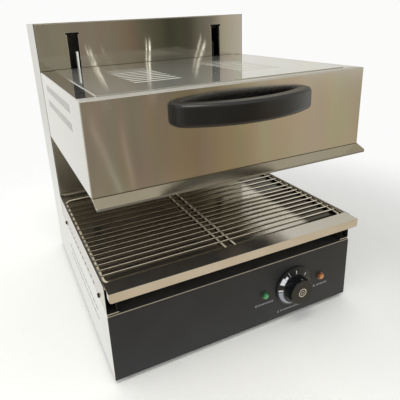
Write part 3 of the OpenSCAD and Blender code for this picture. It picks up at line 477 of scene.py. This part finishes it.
# %% Moulded pieces
def moulded(name, color, rough, grain=0.35, depth=0.012, ior=1.5, wear=0.04, edge=0.5):
    """A moulded piece with eroded texture, uneven gloss and soft edges."""
    material, tree = blank(name)
    edges = add(tree, "ShaderNodeBevel", {"Radius": edge * MM}, samples=4).outputs[0]
    skin = add(tree, "ShaderNodeBump", {"Strength": 0.5, "Distance": depth * MM, "Normal": edges,
                                        "Height": patches(tree, grain, 0, 1)}).outputs[0]
    tone = add(tree, "ShaderNodeMix", {0: patches(tree, 25, 0, 1, detail=3), 6: srgb(color),
                                       7: srgb(shifted(color, 5, 5, 5))}, data_type="RGBA").outputs[2]
    return finish(material, {"Base Color": tone, "IOR": ior, "Normal": skin,
                             "Roughness": patches(tree, 30, rough - wear, rough + wear, detail=3)})


handle_black = moulded("phenolic_black_satin", "0c0c0c", rough=0.26)
knob_black = moulded("phenolic_black", "070a0c", rough=0.32, ior=1.45)
polyamide_black = moulded("polyamide_black", "1b1b1c", rough=0.5)
rubber = moulded("nitrile_rubber", "171717", rough=0.75, grain=0.6, depth=0.05, ior=1.52)
steatite = moulded("steatite_ceramic", "e2dccb", rough=0.45, ior=1.55)
sleeve = moulded("glass_fibre_sleeve", "45413a", rough=0.8, grain=0.8, depth=0.2)
ink_white = moulded("printing_ink_white", "dfe2e8", rough=0.5, depth=0.001, edge=0.02)
ink_blue_grey = moulded("printing_ink_blue_grey", "9aa0ac", rough=0.5, depth=0.001, edge=0.02)
ink_grey = moulded("printing_ink_grey", "9a9da3", rough=0.5, depth=0.001, edge=0.02)
ink_black = moulded("printing_ink_black", "1c1d1f", rough=0.45, depth=0.001, edge=0.02)

# %% [markdown]
# The panel's overlay is a polyester film printed black on its back: matt, with a slight orange
# peel and a little dust. Lamp lenses are clear coloured polycarbonate over a ribbed diffuser, so
# the colour is deepest at the rim and pale in the middle; a radius from the lens axis drives it.

# %% Film and lenses
def overlay_film(name, dark, light):
    """Matt black film with a faint dust and orange peel."""
    material, tree = blank(name)
    tone = add(tree, "ShaderNodeMix", {0: patches(tree, 40, 0, 1, detail=5), 6: srgb(dark), 7: srgb(light)},
               data_type="RGBA").outputs[2]
    peel = add(tree, "ShaderNodeBump", {"Strength": 0.4, "Distance": 0.02 * MM,
                                        "Height": patches(tree, 1.5, 0, 1)}).outputs[0]
    return finish(material, {"Base Color": tone, "IOR": 1.45, "Normal": peel,
                             "Roughness": patches(tree, 60, 0.44, 0.52)})


LENS_PALE_R, LENS_R = 2.5, 6.2


def lens(name, pale, deep, axis):
    """A coloured lens round the axis that runs to the front through the given point."""
    material, tree = blank(name)
    where = add(tree, "ShaderNodeTexCoord").outputs["Object"]
    flat = add(tree, "ShaderNodeVectorMath", {0: where, 1: mm(axis.x, 0, axis.z)},
               operation="SUBTRACT").outputs[0]
    flat = add(tree, "ShaderNodeVectorMath", {0: flat, 1: (1, 0, 1)}, operation="MULTIPLY").outputs[0]
    radius = add(tree, "ShaderNodeVectorMath", {0: flat}, operation="LENGTH").outputs["Value"]
    rim = add(tree, "ShaderNodeMapRange", {"Value": radius, "From Min": LENS_PALE_R * MM,
                                           "From Max": LENS_R * MM}).outputs[0]
    ribs = patches(tree, 1.6, -0.15, 0.15, stretch=(1, 1, 0.3))
    depth = add(tree, "ShaderNodeMath", {0: rim, 1: ribs}, operation="ADD").outputs[0]
    tone = add(tree, "ShaderNodeMix", {0: depth, 6: srgb(pale), 7: srgb(deep)}, data_type="RGBA").outputs[2]
    return finish(material, {"Base Color": tone, "IOR": 1.58, "Roughness": 0.18, "Coat Weight": 0.5,
                             "Coat Roughness": 0.05})


film_black = overlay_film("polyester_film_black", "161a20", "1c2026")
lens_green = lens("polycarbonate_green", "2f9a5c", "07381a", GREEN)
lens_amber = lens("polycarbonate_amber", "c9823a", "5c2c08", AMBER)

# %% [markdown]
# ## 7. The solids get their materials
#
# Each solid keeps its mesh; only its material slot changes. The list goes from finish to pieces, as
# a workshop sorts its parts, so a finish that several pieces share is written once.

# %% Dress the solids
DRESS = {
    steel_head: ["head_shell"],
    steel_deflector: ["deflector"],
    steel_column: ["column_front"],
    steel_side: ["side_panel_left", "side_panel_right", "column_cap"],
    steel_rail: ["tray_rail_left", "tray_rail_right"],
    steel_panel: ["control_panel"],
    steel_lid: ["head_top_panel"],
    steel_tray: ["drip_tray"],
    galvanised: ["rear_cover", "head_rear_panel"],
    arm_painted_highlight: ["lift_arm_left"],
    zinc_painted_shade: ["base_pan", "base_deck", "element_supports", "pulley_brackets"],
    slot_shade_black: ["carriage_plate", "top_beam", "lower_beam", "lift_arm_right"],
    reflector_steel: ["reflector"],
    element_sheath: ["heating_elements"],
    nickel_wire: ["wire_grid"],
    zinc_screws: ["cover_screws", "foot_screws", "handle_screws", "weight_eyes", "thermostat_spindle"],
    black_oxide_and_slot_shade: ["rail_screws", "arm_bolts", "rod_nuts", "stop_collars"],
    chrome_rod: ["guide_rods", "pulley_axles"],
    turned_aluminium: ["bush_blocks", "pulley_left", "pulley_right", "knob_disc"],
    bush_bronze: ["guide_bushes"],
    wire_rope: ["rope_arcs"],
    cast_iron: ["counterweight"],
    film_black: ["panel_overlay"],
    handle_black: ["bow_handle"],
    knob_black: ["temperature_knob"],
    polyamide_black: ["thermostat_body", "lamp_bodies", "cable_gland", "gland_nut"],
    rubber: ["rubber_feet", "rod_buffers"],
    steatite: ["terminal_block", "element_insulators"],
    sleeve: ["heater_lead"],
    lens_green: ["green_lens"],
    lens_amber: ["amber_lens"],
}
for material, names in DRESS.items():
    for name in names:
        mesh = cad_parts[name].data
        mesh.materials.clear()
        mesh.materials.append(material)
print("dressed:", sum(len(names) for names in DRESS.values()))

# %% [markdown]
# ## 8. The marks on the knob and the panel
#
# Pad-printed marks are films of ink, a few hundredths of a millimetre thick. Each starts as two
# points joined by an edge, which a spin about the knob's axis sweeps into an arc. The flat shape is
# then laid on the knob's conical skirt and given the ink's thickness.

# %% Ink helpers
INK = 0.06
WELD = 0.002
SKIRT_R = 34.5
SKIRT_RISE, SKIRT_RUN = 2.6, 9.0


def sector(bm, inner, outer, first, last, inner_end=None, steps=12):
    """A ring's arc between two angles, clockwise from the top; its inner radius may end elsewhere."""
    ends = [bm.verts.new(mm(0, 0, r)) for r in (inner, outer)]
    edge = bm.edges.new(ends)
    bmesh.ops.rotate(bm, verts=ends, cent=(0, 0, 0), matrix=Matrix.Rotation(math.radians(first), 3, "Y"))
    before = set(bm.verts) - set(ends)
    bmesh.ops.spin(bm, geom=ends + [edge], cent=(0, 0, 0), axis=(0, 1, 0), steps=steps,
                   angle=math.radians(last - first))
    made = [v for v in bm.verts if v not in before]
    if inner_end is not None:
        for v in made:
            radius = math.hypot(v.co.x, v.co.z)
            turned = (math.degrees(math.atan2(v.co.x, v.co.z)) - first + 1) % 360 - 1
            if radius < (inner + outer) / 2 * MM:
                v.co *= (inner + (inner_end - inner) * turned / (last - first)) * MM / radius
    return made


def stroke(bm, x, z, wide, high):
    """A flat bar in the XZ plane with its middle in the given place."""
    made = bmesh.ops.create_grid(bm, x_segments=1, y_segments=1, size=0.5)["verts"]
    bmesh.ops.rotate(bm, verts=made, cent=(0, 0, 0), matrix=Matrix.Rotation(math.radians(90), 3, "X"))
    bmesh.ops.scale(bm, verts=made, vec=mm(wide, 1, high))
    bmesh.ops.translate(bm, verts=made, vec=mm(x, 0, z))
    return made


def on_skirt(bm):
    """Lays the flat shapes on the knob's cone, which rises towards the grip."""
    for v in bm.verts:
        inward = SKIRT_R - math.hypot(v.co.x, v.co.z) / MM
        v.co.y = (KNOB_BACK - SKIRT_RISE - inward * SKIRT_RISE / SKIRT_RUN) * MM
    bmesh.ops.translate(bm, verts=bm.verts, vec=mm(KNOB.x, 0, KNOB.z))


def raised(bm, way):
    """Pulls the faces out by a vector, with walls along their edges."""
    pulled = bmesh.ops.extrude_face_region(bm, geom=bm.faces[:])["geom"]
    bmesh.ops.translate(bm, verts=[g for g in pulled if isinstance(g, bmesh.types.BMVert)], vec=way)


def as_piece(name, bm, material):
    """A piece made of the bmesh, with a material."""
    mesh = bpy.data.meshes.new(name)
    bm.to_mesh(mesh)
    bm.free()
    mesh.materials.append(material)
    obj = bpy.data.objects.new(name, mesh)
    bpy.context.scene.collection.objects.link(obj)
    print("made %s: %d faces" % (name, len(mesh.polygons)))
    return obj


def printed(name, bm, body, material, thick=INK):
    """Gives the flat shapes the ink's thickness and makes them a piece that rides on a body."""
    bmesh.ops.remove_doubles(bm, verts=bm.verts, dist=WELD * MM)
    raised(bm, mm(0, -thick, 0))
    bmesh.ops.recalc_face_normals(bm, faces=bm.faces)
    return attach(as_piece(name, bm, material), body)


# %% [markdown]
# The skirt carries the scale: short ticks, a block that marks the off place, a line where the scale
# starts, and a pale wedge that narrows with the heat.

# %% Skirt marks
MARK_FOOT, MARK_RIM = 25.6, 34
TICKS = ((4, MARK_FOOT), (47, 26), (91, 26), (134, 26))
TICK_RIM, TICK_HALF = 31.4, 1.1

bm = bmesh.new()
for angle, foot in TICKS:
    sector(bm, foot, TICK_RIM, angle - TICK_HALF, angle + TICK_HALF, steps=1)
sector(bm, MARK_FOOT, MARK_RIM, -91.5, -86.5, steps=2)
on_skirt(bm)
printed("dial_ticks", bm, "knob", ink_white)

bm = bmesh.new()
sector(bm, MARK_FOOT, MARK_RIM, -68, -46)
sector(bm, 26.5, 31, -45.5, -34, steps=6)
on_skirt(bm)
printed("dial_off_block", bm, "knob", ink_white)

WEDGE_TURN, WEDGE_FOOT, WEDGE_RIM = -150, 29.8, 33.8
bm = bmesh.new()
sector(bm, MARK_FOOT, MARK_RIM + 0.2, -26, -24, steps=2)
sector(bm, WEDGE_FOOT, WEDGE_RIM, WEDGE_TURN, -95, inner_end=MARK_FOOT, steps=20)
sector(bm, WEDGE_RIM - 0.4, WEDGE_RIM, -172, WEDGE_TURN, inner_end=WEDGE_FOOT, steps=8)
on_skirt(bm)
printed("dial_heat_wedge", bm, "knob", ink_blue_grey)

# %% [markdown]
# A pointer line runs down the grip's flank, between two of its flutes. It starts flat, is turned to
# lie on top of the grip, gets its thickness outwards, and then swings round to its flute. The print
# adds no further thickness, and so it lays a second set of faces on the first.

# %% Grip pointer
GRIP_R = 24
POINTER_ANGLE, POINTER_WIDE, POINTER_LONG = 4, 1.1, 8
POINTER_BACK, POINTER_SUNK, POINTER_THICK = 6, 0.8, 0.1

bm = bmesh.new()
stroke(bm, 0, 0, POINTER_WIDE, POINTER_LONG)
bmesh.ops.rotate(bm, verts=bm.verts, cent=(0, 0, 0), matrix=Matrix.Rotation(math.radians(-90), 3, "X"))
bmesh.ops.translate(bm, verts=bm.verts, vec=mm(0, KNOB_TIP + POINTER_BACK, GRIP_R - POINTER_SUNK))
raised(bm, mm(0, 0, POINTER_THICK))
bmesh.ops.rotate(bm, verts=bm.verts, cent=(0, 0, 0),
                 matrix=Matrix.Rotation(math.radians(POINTER_ANGLE), 3, "Y"))
bmesh.ops.translate(bm, verts=bm.verts, vec=mm(KNOB.x, 0, KNOB.z))
printed("grip_pointer", bm, "knob", ink_white, thick=0.0)

# %% [markdown]
# The knob's disc is printed black but for two pale rings, where the bare aluminium shows.

# %% Disc print
DISC_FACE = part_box("knob_disc")[0].y / MM
DISC_RINGS = ((0.1, 2.6), (3.6, 6.2), (8.0, 9.3))

bm = bmesh.new()
for inner, outer in DISC_RINGS:
    sector(bm, inner, outer, 0, 360, steps=48)
bmesh.ops.translate(bm, verts=bm.verts, vec=mm(KNOB.x, DISC_FACE, KNOB.z))
printed("disc_print", bm, "knob", ink_black)

# %% [markdown]
# The panel carries small plain signs: a ring with a stroke for power under the green lamp, a
# thermometer under the knob, and three heat waves under the amber lamp, each beside a row of strokes.
# Their places are measured from the lamp or the knob that they belong to. A round piece is a
# polygon, so the middle of its box is a few thousandths off, and it is first brought to a tenth.

# %% Panel signs
def drawn(place):
    """A place as a print drawing gives it, in whole tenths of a millimetre."""
    return Vector([round(value, 1) for value in place])


POWER, DIAL, HEAT = drawn(GREEN), drawn(KNOB), drawn(AMBER)
STROKE_WIDE, STROKE_HIGH, STROKE_STEP = 1.1, 4.0, 2.4
STROKE_ROWS = ((POWER.x - 12, POWER.x + 19, POWER.z - 17.3), (DIAL.x - 25, DIAL.x + 16, DIAL.z - 45),
               (HEAT.x - 6, HEAT.x + 16, HEAT.z - 18))
POWER_PLACE = mm(POWER.x - 17.2, 0, POWER.z - 17.3)
BULB_PLACE = mm(DIAL.x - 31, 0, DIAL.z - 46.2)
WAVES_PLACE = (HEAT.x - 14, HEAT.z - 18)
WAVE_INNER, WAVE_OUTER, WAVE_PITCH = 1.0, 1.6, 1.4


def strokes_row(bm, first, last, z):
    """A row of short plain strokes between two places, every fourth one longer, like a rule."""
    for count in range(math.ceil((last - first) / STROKE_STEP)):
        high = STROKE_HIGH if count % 4 == 0 else STROKE_HIGH * 0.7
        stroke(bm, first + count * STROKE_STEP, z, STROKE_WIDE, high)


bm = bmesh.new()
for first, last, z in STROKE_ROWS:
    strokes_row(bm, first, last, z)
power = sector(bm, 1.5, 2.3, 30, 330, steps=20) + stroke(bm, 0, 1.6, 0.8, 2.4)
bmesh.ops.translate(bm, verts=power, vec=POWER_PLACE)
bulb = sector(bm, 0.2, 1.4, 0, 330, steps=12) + stroke(bm, 0, 2.3, 1.0, 3.0)
bmesh.ops.translate(bm, verts=bulb, vec=BULB_PLACE)
for step in (-WAVE_PITCH, 0, WAVE_PITCH):
    for x, z, first, last in ((2.5, -1, -150, -30), (0, 1, 30, 150)):
        arc = sector(bm, WAVE_INNER, WAVE_OUTER, first, last, steps=6)
        bmesh.ops.translate(bm, verts=arc, vec=mm(WAVES_PLACE[0] + step + x, 0, WAVES_PLACE[1] + z))
bmesh.ops.translate(bm, verts=bm.verts, vec=mm(0, FRONT, 0))
printed("panel_signs", bm, "cabinet", ink_grey)

# %% [markdown]
# ## 9. Ropes and the lead that grow and shrink
#
# A rope between its pulley and the head or the weight gets shorter as it winds over the pulley, and
# the lead that hangs in the column gathers as the head sinks. Rigid solids would poke out of the
# column. Plain tubes take their places, each from its still end to the end at the moving body.

# %% Tubes between two ends
ROPE_R = 1.5 * MM
FERRULE = (4 * MM, 6 * MM)


def growing_tubes(name, node, spots, radius, still, moving, material, ferrule=None):
    """Upright tubes at the spots, from the still end to the end at the moving body; they stand for a node.
    `ferrule` is the radius and length of a sleeve beyond that end."""
    bm = bmesh.new()
    parts = [(radius, still.z, moving.z)]
    if ferrule:
        parts.append((ferrule[0], moving.z, moving.z - ferrule[1]))
    for x in spots:
        for wide, start, end in parts:
            tube = bmesh.ops.create_cone(bm, cap_ends=True, segments=16, radius1=wide, radius2=wide,
                                         depth=abs(start - end))["verts"]
            bmesh.ops.translate(bm, verts=tube, vec=(x, still.y, (start + end) / 2))
    obj = as_piece(name, bm, material)
    obj.data.shade_smooth()
    obj.data.set_sharp_from_angle(angle=math.radians(40))
    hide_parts(node)
    print("%s: %.0f mm between its ends" % (name, (still - moving).length / MM))
    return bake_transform(obj)


# %% [markdown]
# Each rope has two runs: one from its pulley to the weight, and one from its pulley to the carriage,
# where a pressed ferrule ends it. The outermost part of a solid's box gives the place of its axis.

# %% Ropes
low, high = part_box("weight_ropes")
rope_y = (low.y + high.y) / 2
growing_tubes("weight_rope_runs", "weight_ropes", (low.x + ROPE_R, high.x - ROPE_R), ROPE_R,
              Vector((0, rope_y, high.z)), Vector((0, rope_y, low.z)), wire_rope)
low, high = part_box("carriage_ropes")
growing_tubes("carriage_rope_runs", "carriage_ropes", (low.x + FERRULE[0], high.x - FERRULE[0]), ROPE_R,
              Vector((0, rope_y, high.z)), Vector((0, rope_y, low.z + FERRULE[1])),
              wire_rope, ferrule=FERRULE)

# %% [markdown]
# The lead hangs from an elbow behind the head down to the terminal block on the deck. Here it is the
# upper end that moves.

# %% Hanging lead
low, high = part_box("lead_run")
lead = (low + high) / 2
growing_tubes("lead_hanging_run", "lead_run", (lead.x,), (high.x - low.x) / 2, Vector((0, lead.y, low.z)),
              Vector((0, lead.y, high.z)), sleeve)

# %% [markdown]
# ## 10. The studio
#
# The camera sees plain white. What the steel reflects is a room: white walls behind and beside the
# grill, a warm floor, and a dim olive room in front of it. The walls' colours are given by bearing,
# one list for each height.

# %% Walls by bearing
ROOM_LEVEL = [(-180, "f8f8f5"), (-115, "f8f8f5"), (-70, "d4d2ca"), (-25, "a8a396"), (-3, "989480"),
              (7, "99947f"), (12, "988e7e"), (17, "91836f"), (20, "6b6758"), (22.5, "4e4d40"),
              (25, "595849"), (28, "8e8979"), (30.5, "d2cab9"), (34, "e6ded1"), (50, "e4e0d6"),
              (75, "f0efe9"), (120, "e8e6e0"), (145, "e8e6e0"), (160, "f8f8f5"), (180, "f8f8f5")]
ROOM_LOW = [(-180, "f4f4f0"), (-115, "f4f4f0"), (-70, "cfcbc0"), (-20, "a09a88"), (6, "989180"),
            (12, "988f7a"), (18, "938770"), (25, "948164"), (31, "a59371"), (36, "c0b192"),
            (41, "c8bb9d"), (48, "c2b598"), (60, "cdc5b0"), (80, "ecebe3"), (110, "f4f4f0"),
            (180, "f4f4f0")]
ROOM_HIGH = [(-180, "f6f6f3"), (-70, "f6f6f3"), (-30, "a8a494"), (40, "a8a494"), (75, "dedad0"),
             (95, "cfcabc"), (112, "dcd8cc"), (140, "dcd8cc"), (144, "e9e6de"), (180, "f8f8f5")]
ROOM_TOP = [(-180, "f6f6f3"), (60, "f6f6f3"), (95, "bdb8aa"), (118, "bdb8aa"), (132, "dcd8cc"),
            (144, "f4f2ec"), (180, "f8f8f5")]


def walls(tree, bearing, stops):
    """The walls' colour at a bearing in degrees, from a list of bearings and colours."""
    turn = add(tree, "ShaderNodeMapRange", {"Value": bearing, "From Min": -180.0,
                                            "From Max": 180.0}).outputs[0]
    colors = add(tree, "ShaderNodeValToRGB", {0: turn})
    colors.color_ramp.interpolation = "EASE"
    parts = colors.color_ramp.elements
    parts.remove(parts[-1])
    parts[0].position, parts[0].color = 0.0, srgb(stops[0][1])
    for angle, code in stops[1:]:
        parts.new(angle / 360 + 0.5).color = srgb(code)
    return colors.outputs[0]


# %% [markdown]
# Directions become a bearing and a height in degrees. Soft upright streaks in the colours stand for
# furniture and doorways out of focus, so the brushed steel has something to stretch.

# %% Bearings and streaks
def look_direction(tree):
    """The bearing (0 to the front, positive to the right) and the height of a direction, in degrees."""
    toward = axes(tree, "Generated")
    ahead = add(tree, "ShaderNodeMath", {0: toward["Y"], 1: -1.0}, operation="MULTIPLY").outputs[0]
    turn = add(tree, "ShaderNodeMath", {0: toward["X"], 1: ahead}, operation="ARCTAN2").outputs[0]
    rise = add(tree, "ShaderNodeMath", {0: toward["Z"]}, operation="ARCSINE").outputs[0]
    return (add(tree, "ShaderNodeMath", {0: turn}, operation="DEGREES").outputs[0],
            add(tree, "ShaderNodeMath", {0: rise}, operation="DEGREES").outputs[0])


def streaked(tree, color, bearing, height, width, amount):
    """Mixes soft upright streaks, `width` degrees wide, into a colour."""
    tall = add(tree, "ShaderNodeMath", {0: height, 1: 0.12}, operation="MULTIPLY").outputs[0]
    across = add(tree, "ShaderNodeCombineXYZ", {"X": bearing, "Y": tall}).outputs[0]
    noise = add(tree, "ShaderNodeTexNoise", {"Vector": across, "Scale": 1 / width, "Detail": 2.0})
    return add(tree, "ShaderNodeMix", {0: amount, 6: color, 7: noise.outputs["Color"]}, data_type="RGBA",
               blend_type="OVERLAY").outputs[2]


# %% [markdown]
# A lamp is a thin line that leans a little. It shows twice in the column: straight, and by way of
# the bright lid, so it is drawn above and below the horizon. Three pairs are bright, and three faint
# lines beside and below them draw the pale streaks on the left of the head's front.

# %% Lamps
LAMP_GLOW = (3.0, 2.9, 2.6, 1)
# Bearing, lean, half the width, nearest and farthest height from the horizon (degrees), and strength
LAMPS = [(12.0, 0.35, 0.07, 3.3, 9.0, 1.0), (11.52, 0.35, 0.04, 3.0, 9.0, 0.8),
         (20.1, -0.06, 0.07, 2.7, 9.0, 1.0), (19.62, -0.02, 0.04, 2.6, 9.0, 0.8),
         (27.4, -0.37, 0.07, 3.2, 8.0, 1.0), (26.88, -0.30, 0.04, 2.4, 7.5, 0.8),
         (13.3, 0.52, 0.04, 2.8, 8.5, 0.2), (11.0, 0.30, 0.13, 12.5, 25.0, 0.2),
         (15.4, 0.07, 0.11, 13.5, 24.0, 0.12)]


def lamp(tree, room, bearing, height, at, lean, half_width, first, last, strength):
    """Lays a narrow lit line over the room's colour, between two distances from the horizon."""
    level = add(tree, "ShaderNodeMath", {0: height}, operation="ABSOLUTE").outputs[0]
    tilt = add(tree, "ShaderNodeMath", {0: level, 1: first}, operation="SUBTRACT").outputs[0]
    tilt = add(tree, "ShaderNodeMath", {0: tilt, 1: lean}, operation="MULTIPLY").outputs[0]
    off = add(tree, "ShaderNodeMath", {0: bearing, 1: at}, operation="SUBTRACT").outputs[0]
    off = add(tree, "ShaderNodeMath", {0: off, 1: tilt}, operation="SUBTRACT").outputs[0]
    off = add(tree, "ShaderNodeMath", {0: off}, operation="ABSOLUTE").outputs[0]
    lit = add(tree, "ShaderNodeMapRange", {"Value": off, "From Min": half_width * 1.6,
                                           "From Max": half_width * 0.6}).outputs[0]
    for start, full in ((first, first + 1), (last, last - 2)):
        fade = add(tree, "ShaderNodeMapRange", {"Value": level, "From Min": start,
                                                "From Max": full}).outputs[0]
        lit = add(tree, "ShaderNodeMath", {0: lit, 1: fade}, operation="MULTIPLY").outputs[0]
    lit = add(tree, "ShaderNodeMath", {0: lit, 1: strength}, operation="MULTIPLY").outputs[0]
    return add(tree, "ShaderNodeMix", {0: lit, 6: room, 7: LAMP_GLOW}, data_type="RGBA").outputs[2]


# %% [markdown]
# The world puts these together. From the level list the room's colour turns to the low one below
# the horizon, and to the high one and the top one above it. Only a mirror sees this room. The Light
# Path node tells such a ray from the camera's, which finds a plain near white.

# %% World
BACKDROP = (0.965, 0.965, 0.96, 1)
TO_LOW, TO_HIGH, TO_TOP = (-6.0, -9.0), (9.5, 18.0), (22.0, 34.0)


def studio_world():
    """The world: white to the camera, the room to everything that mirrors."""
    world = bpy.data.worlds.new("studio")
    bpy.context.scene.world = world
    world.use_nodes = True
    tree = world.node_tree
    tree.nodes.clear()
    bearing, height = look_direction(tree)
    room = streaked(tree, walls(tree, bearing, ROOM_LEVEL), bearing, height, 1.6, 0.18)
    low = streaked(tree, walls(tree, bearing, ROOM_LOW), bearing, height, 1.8, 0.3)
    high, top = walls(tree, bearing, ROOM_HIGH), walls(tree, bearing, ROOM_TOP)
    for (start, full), color in ((TO_LOW, low), (TO_HIGH, high), (TO_TOP, top)):
        share = add(tree, "ShaderNodeMapRange", {"Value": height, "From Min": start, "From Max": full},
                    interpolation_type="SMOOTHSTEP").outputs[0]
        room = add(tree, "ShaderNodeMix", {0: share, 6: room, 7: color}, data_type="RGBA").outputs[2]
    for line in LAMPS:
        room = lamp(tree, room, bearing, height, *line)
    seen = add(tree, "ShaderNodeBackground", {0: BACKDROP}).outputs[0]
    shone = add(tree, "ShaderNodeBackground", {0: room}).outputs[0]
    glossy = add(tree, "ShaderNodeLightPath").outputs["Is Glossy Ray"]
    both = add(tree, "ShaderNodeMixShader", {0: glossy, 1: seen, 2: shone}).outputs[0]
    add(tree, "ShaderNodeOutputWorld", {0: both})
    print("room colours:", len(ROOM_LEVEL + ROOM_LOW + ROOM_HIGH + ROOM_TOP))


studio_world()

# %% [markdown]
# The worktop is a pale frosted sheet. It fades out round its edge, so that no horizon shows and the
# grill stands in an endless white, and mirrors see a warmer wooden floor in front.

# %% Worktop
WORKTOP_R, FADE_FROM, FADE_TO = 1.1, 0.55, 1.0
SHADE_FROM, SHADE_TO = 0.05, 0.45
PLANKS_FROM, PLANKS_TO = -0.18, -0.34


def planks(tree):
    """The colour that a mirror sees: white beside the grill, wooden planks in front of it."""
    near = add(tree, "ShaderNodeMapRange", {"Value": axes(tree, "Object")["Y"], "From Min": PLANKS_FROM,
                                            "From Max": PLANKS_TO}).outputs[0]
    grain = patches(tree, 70, 0, 1, stretch=(1, 2.5, 1), detail=4)
    wood = add(tree, "ShaderNodeMix", {0: grain, 6: srgb("f4e8d2"), 7: srgb("d8c4a2")},
               data_type="RGBA").outputs[2]
    return add(tree, "ShaderNodeMix", {0: near, 6: srgb("f6f6f1"), 7: wood}, data_type="RGBA").outputs[2]


def frosted_worktop():
    """Pale frosted sheet to the eye with a painted shade on its right, wood in front of it to a mirror,
    fading out at the rim.
    """
    material, tree = blank("frosted_worktop")
    # The sheet turns greyer to the right of the grill: a painted shade.
    side = add(tree, "ShaderNodeMapRange", {"Value": axes(tree, "Object")["X"], "From Min": SHADE_FROM,
                                            "From Max": SHADE_TO}).outputs[0]
    tone = add(tree, "ShaderNodeMix", {0: side, 6: srgb("fafbfa"), 7: srgb("d5d6d6")},
               data_type="RGBA").outputs[2]
    frost = add(tree, "ShaderNodeBump", {"Strength": 0.6, "Distance": 0.4 * MM,
                                         "Height": patches(tree, 4, 0, 1, detail=4)}).outputs[0]
    pale = add(tree, "ShaderNodeBsdfPrincipled", {"Base Color": tone, "Roughness": 0.6,
                                                  "Normal": frost}).outputs[0]
    warm = add(tree, "ShaderNodeEmission", {0: planks(tree)}).outputs[0]
    mirrored = add(tree, "ShaderNodeLightPath").outputs["Is Glossy Ray"]
    top = add(tree, "ShaderNodeMixShader", {0: mirrored, 1: pale, 2: warm}).outputs[0]
    where = add(tree, "ShaderNodeTexCoord").outputs["Object"]
    away = add(tree, "ShaderNodeVectorMath", {0: where}, operation="LENGTH").outputs["Value"]
    fade = add(tree, "ShaderNodeMapRange", {"Value": away, "From Min": FADE_FROM, "From Max": FADE_TO},
               interpolation_type="SMOOTHSTEP").outputs[0]
    clear = add(tree, "ShaderNodeBsdfTransparent").outputs[0]
    whole = add(tree, "ShaderNodeMixShader", {0: fade, 1: top, 2: clear}).outputs[0]
    add(tree, "ShaderNodeOutputMaterial", {0: whole})
    return material


bm = bmesh.new()
bmesh.ops.create_circle(bm, cap_ends=True, segments=96, radius=WORKTOP_R)
mesh = bpy.data.meshes.new("worktop")
bm.to_mesh(mesh)
bm.free()
mesh.materials.append(frosted_worktop())
worktop = bpy.data.objects.new("worktop", mesh)
bpy.context.scene.collection.objects.link(worktop)
print("worktop: %.1f m across" % (2 * WORKTOP_R))

# %% [markdown]
# One large soft lamp hangs high on the left. Its light is as plain as the world's, so a colour
# renders about as it is written.

# %% Overhead lamp
def area_light(name, place, aim, size, power, color):
    """A square lamp that looks at a point."""
    data = bpy.data.lights.new(name, "AREA")
    data.size = size
    data.energy = power
    data.color = srgb(color)[:3]
    light = bpy.data.objects.new(name, data)
    light.location = place
    light.rotation_euler = (Vector(aim) - Vector(place)).to_track_quat("-Z", "Y").to_euler()
    bpy.context.scene.collection.objects.link(light)
    print("lamp %s: %.0f W" % (name, power))


area_light("overhead", place=(-0.5, -0.6, 2.2), aim=(0, 0, 0.2), size=0.9, power=13.0, color="fffaf0")
bpy.context.scene.view_settings.view_transform = "Standard"
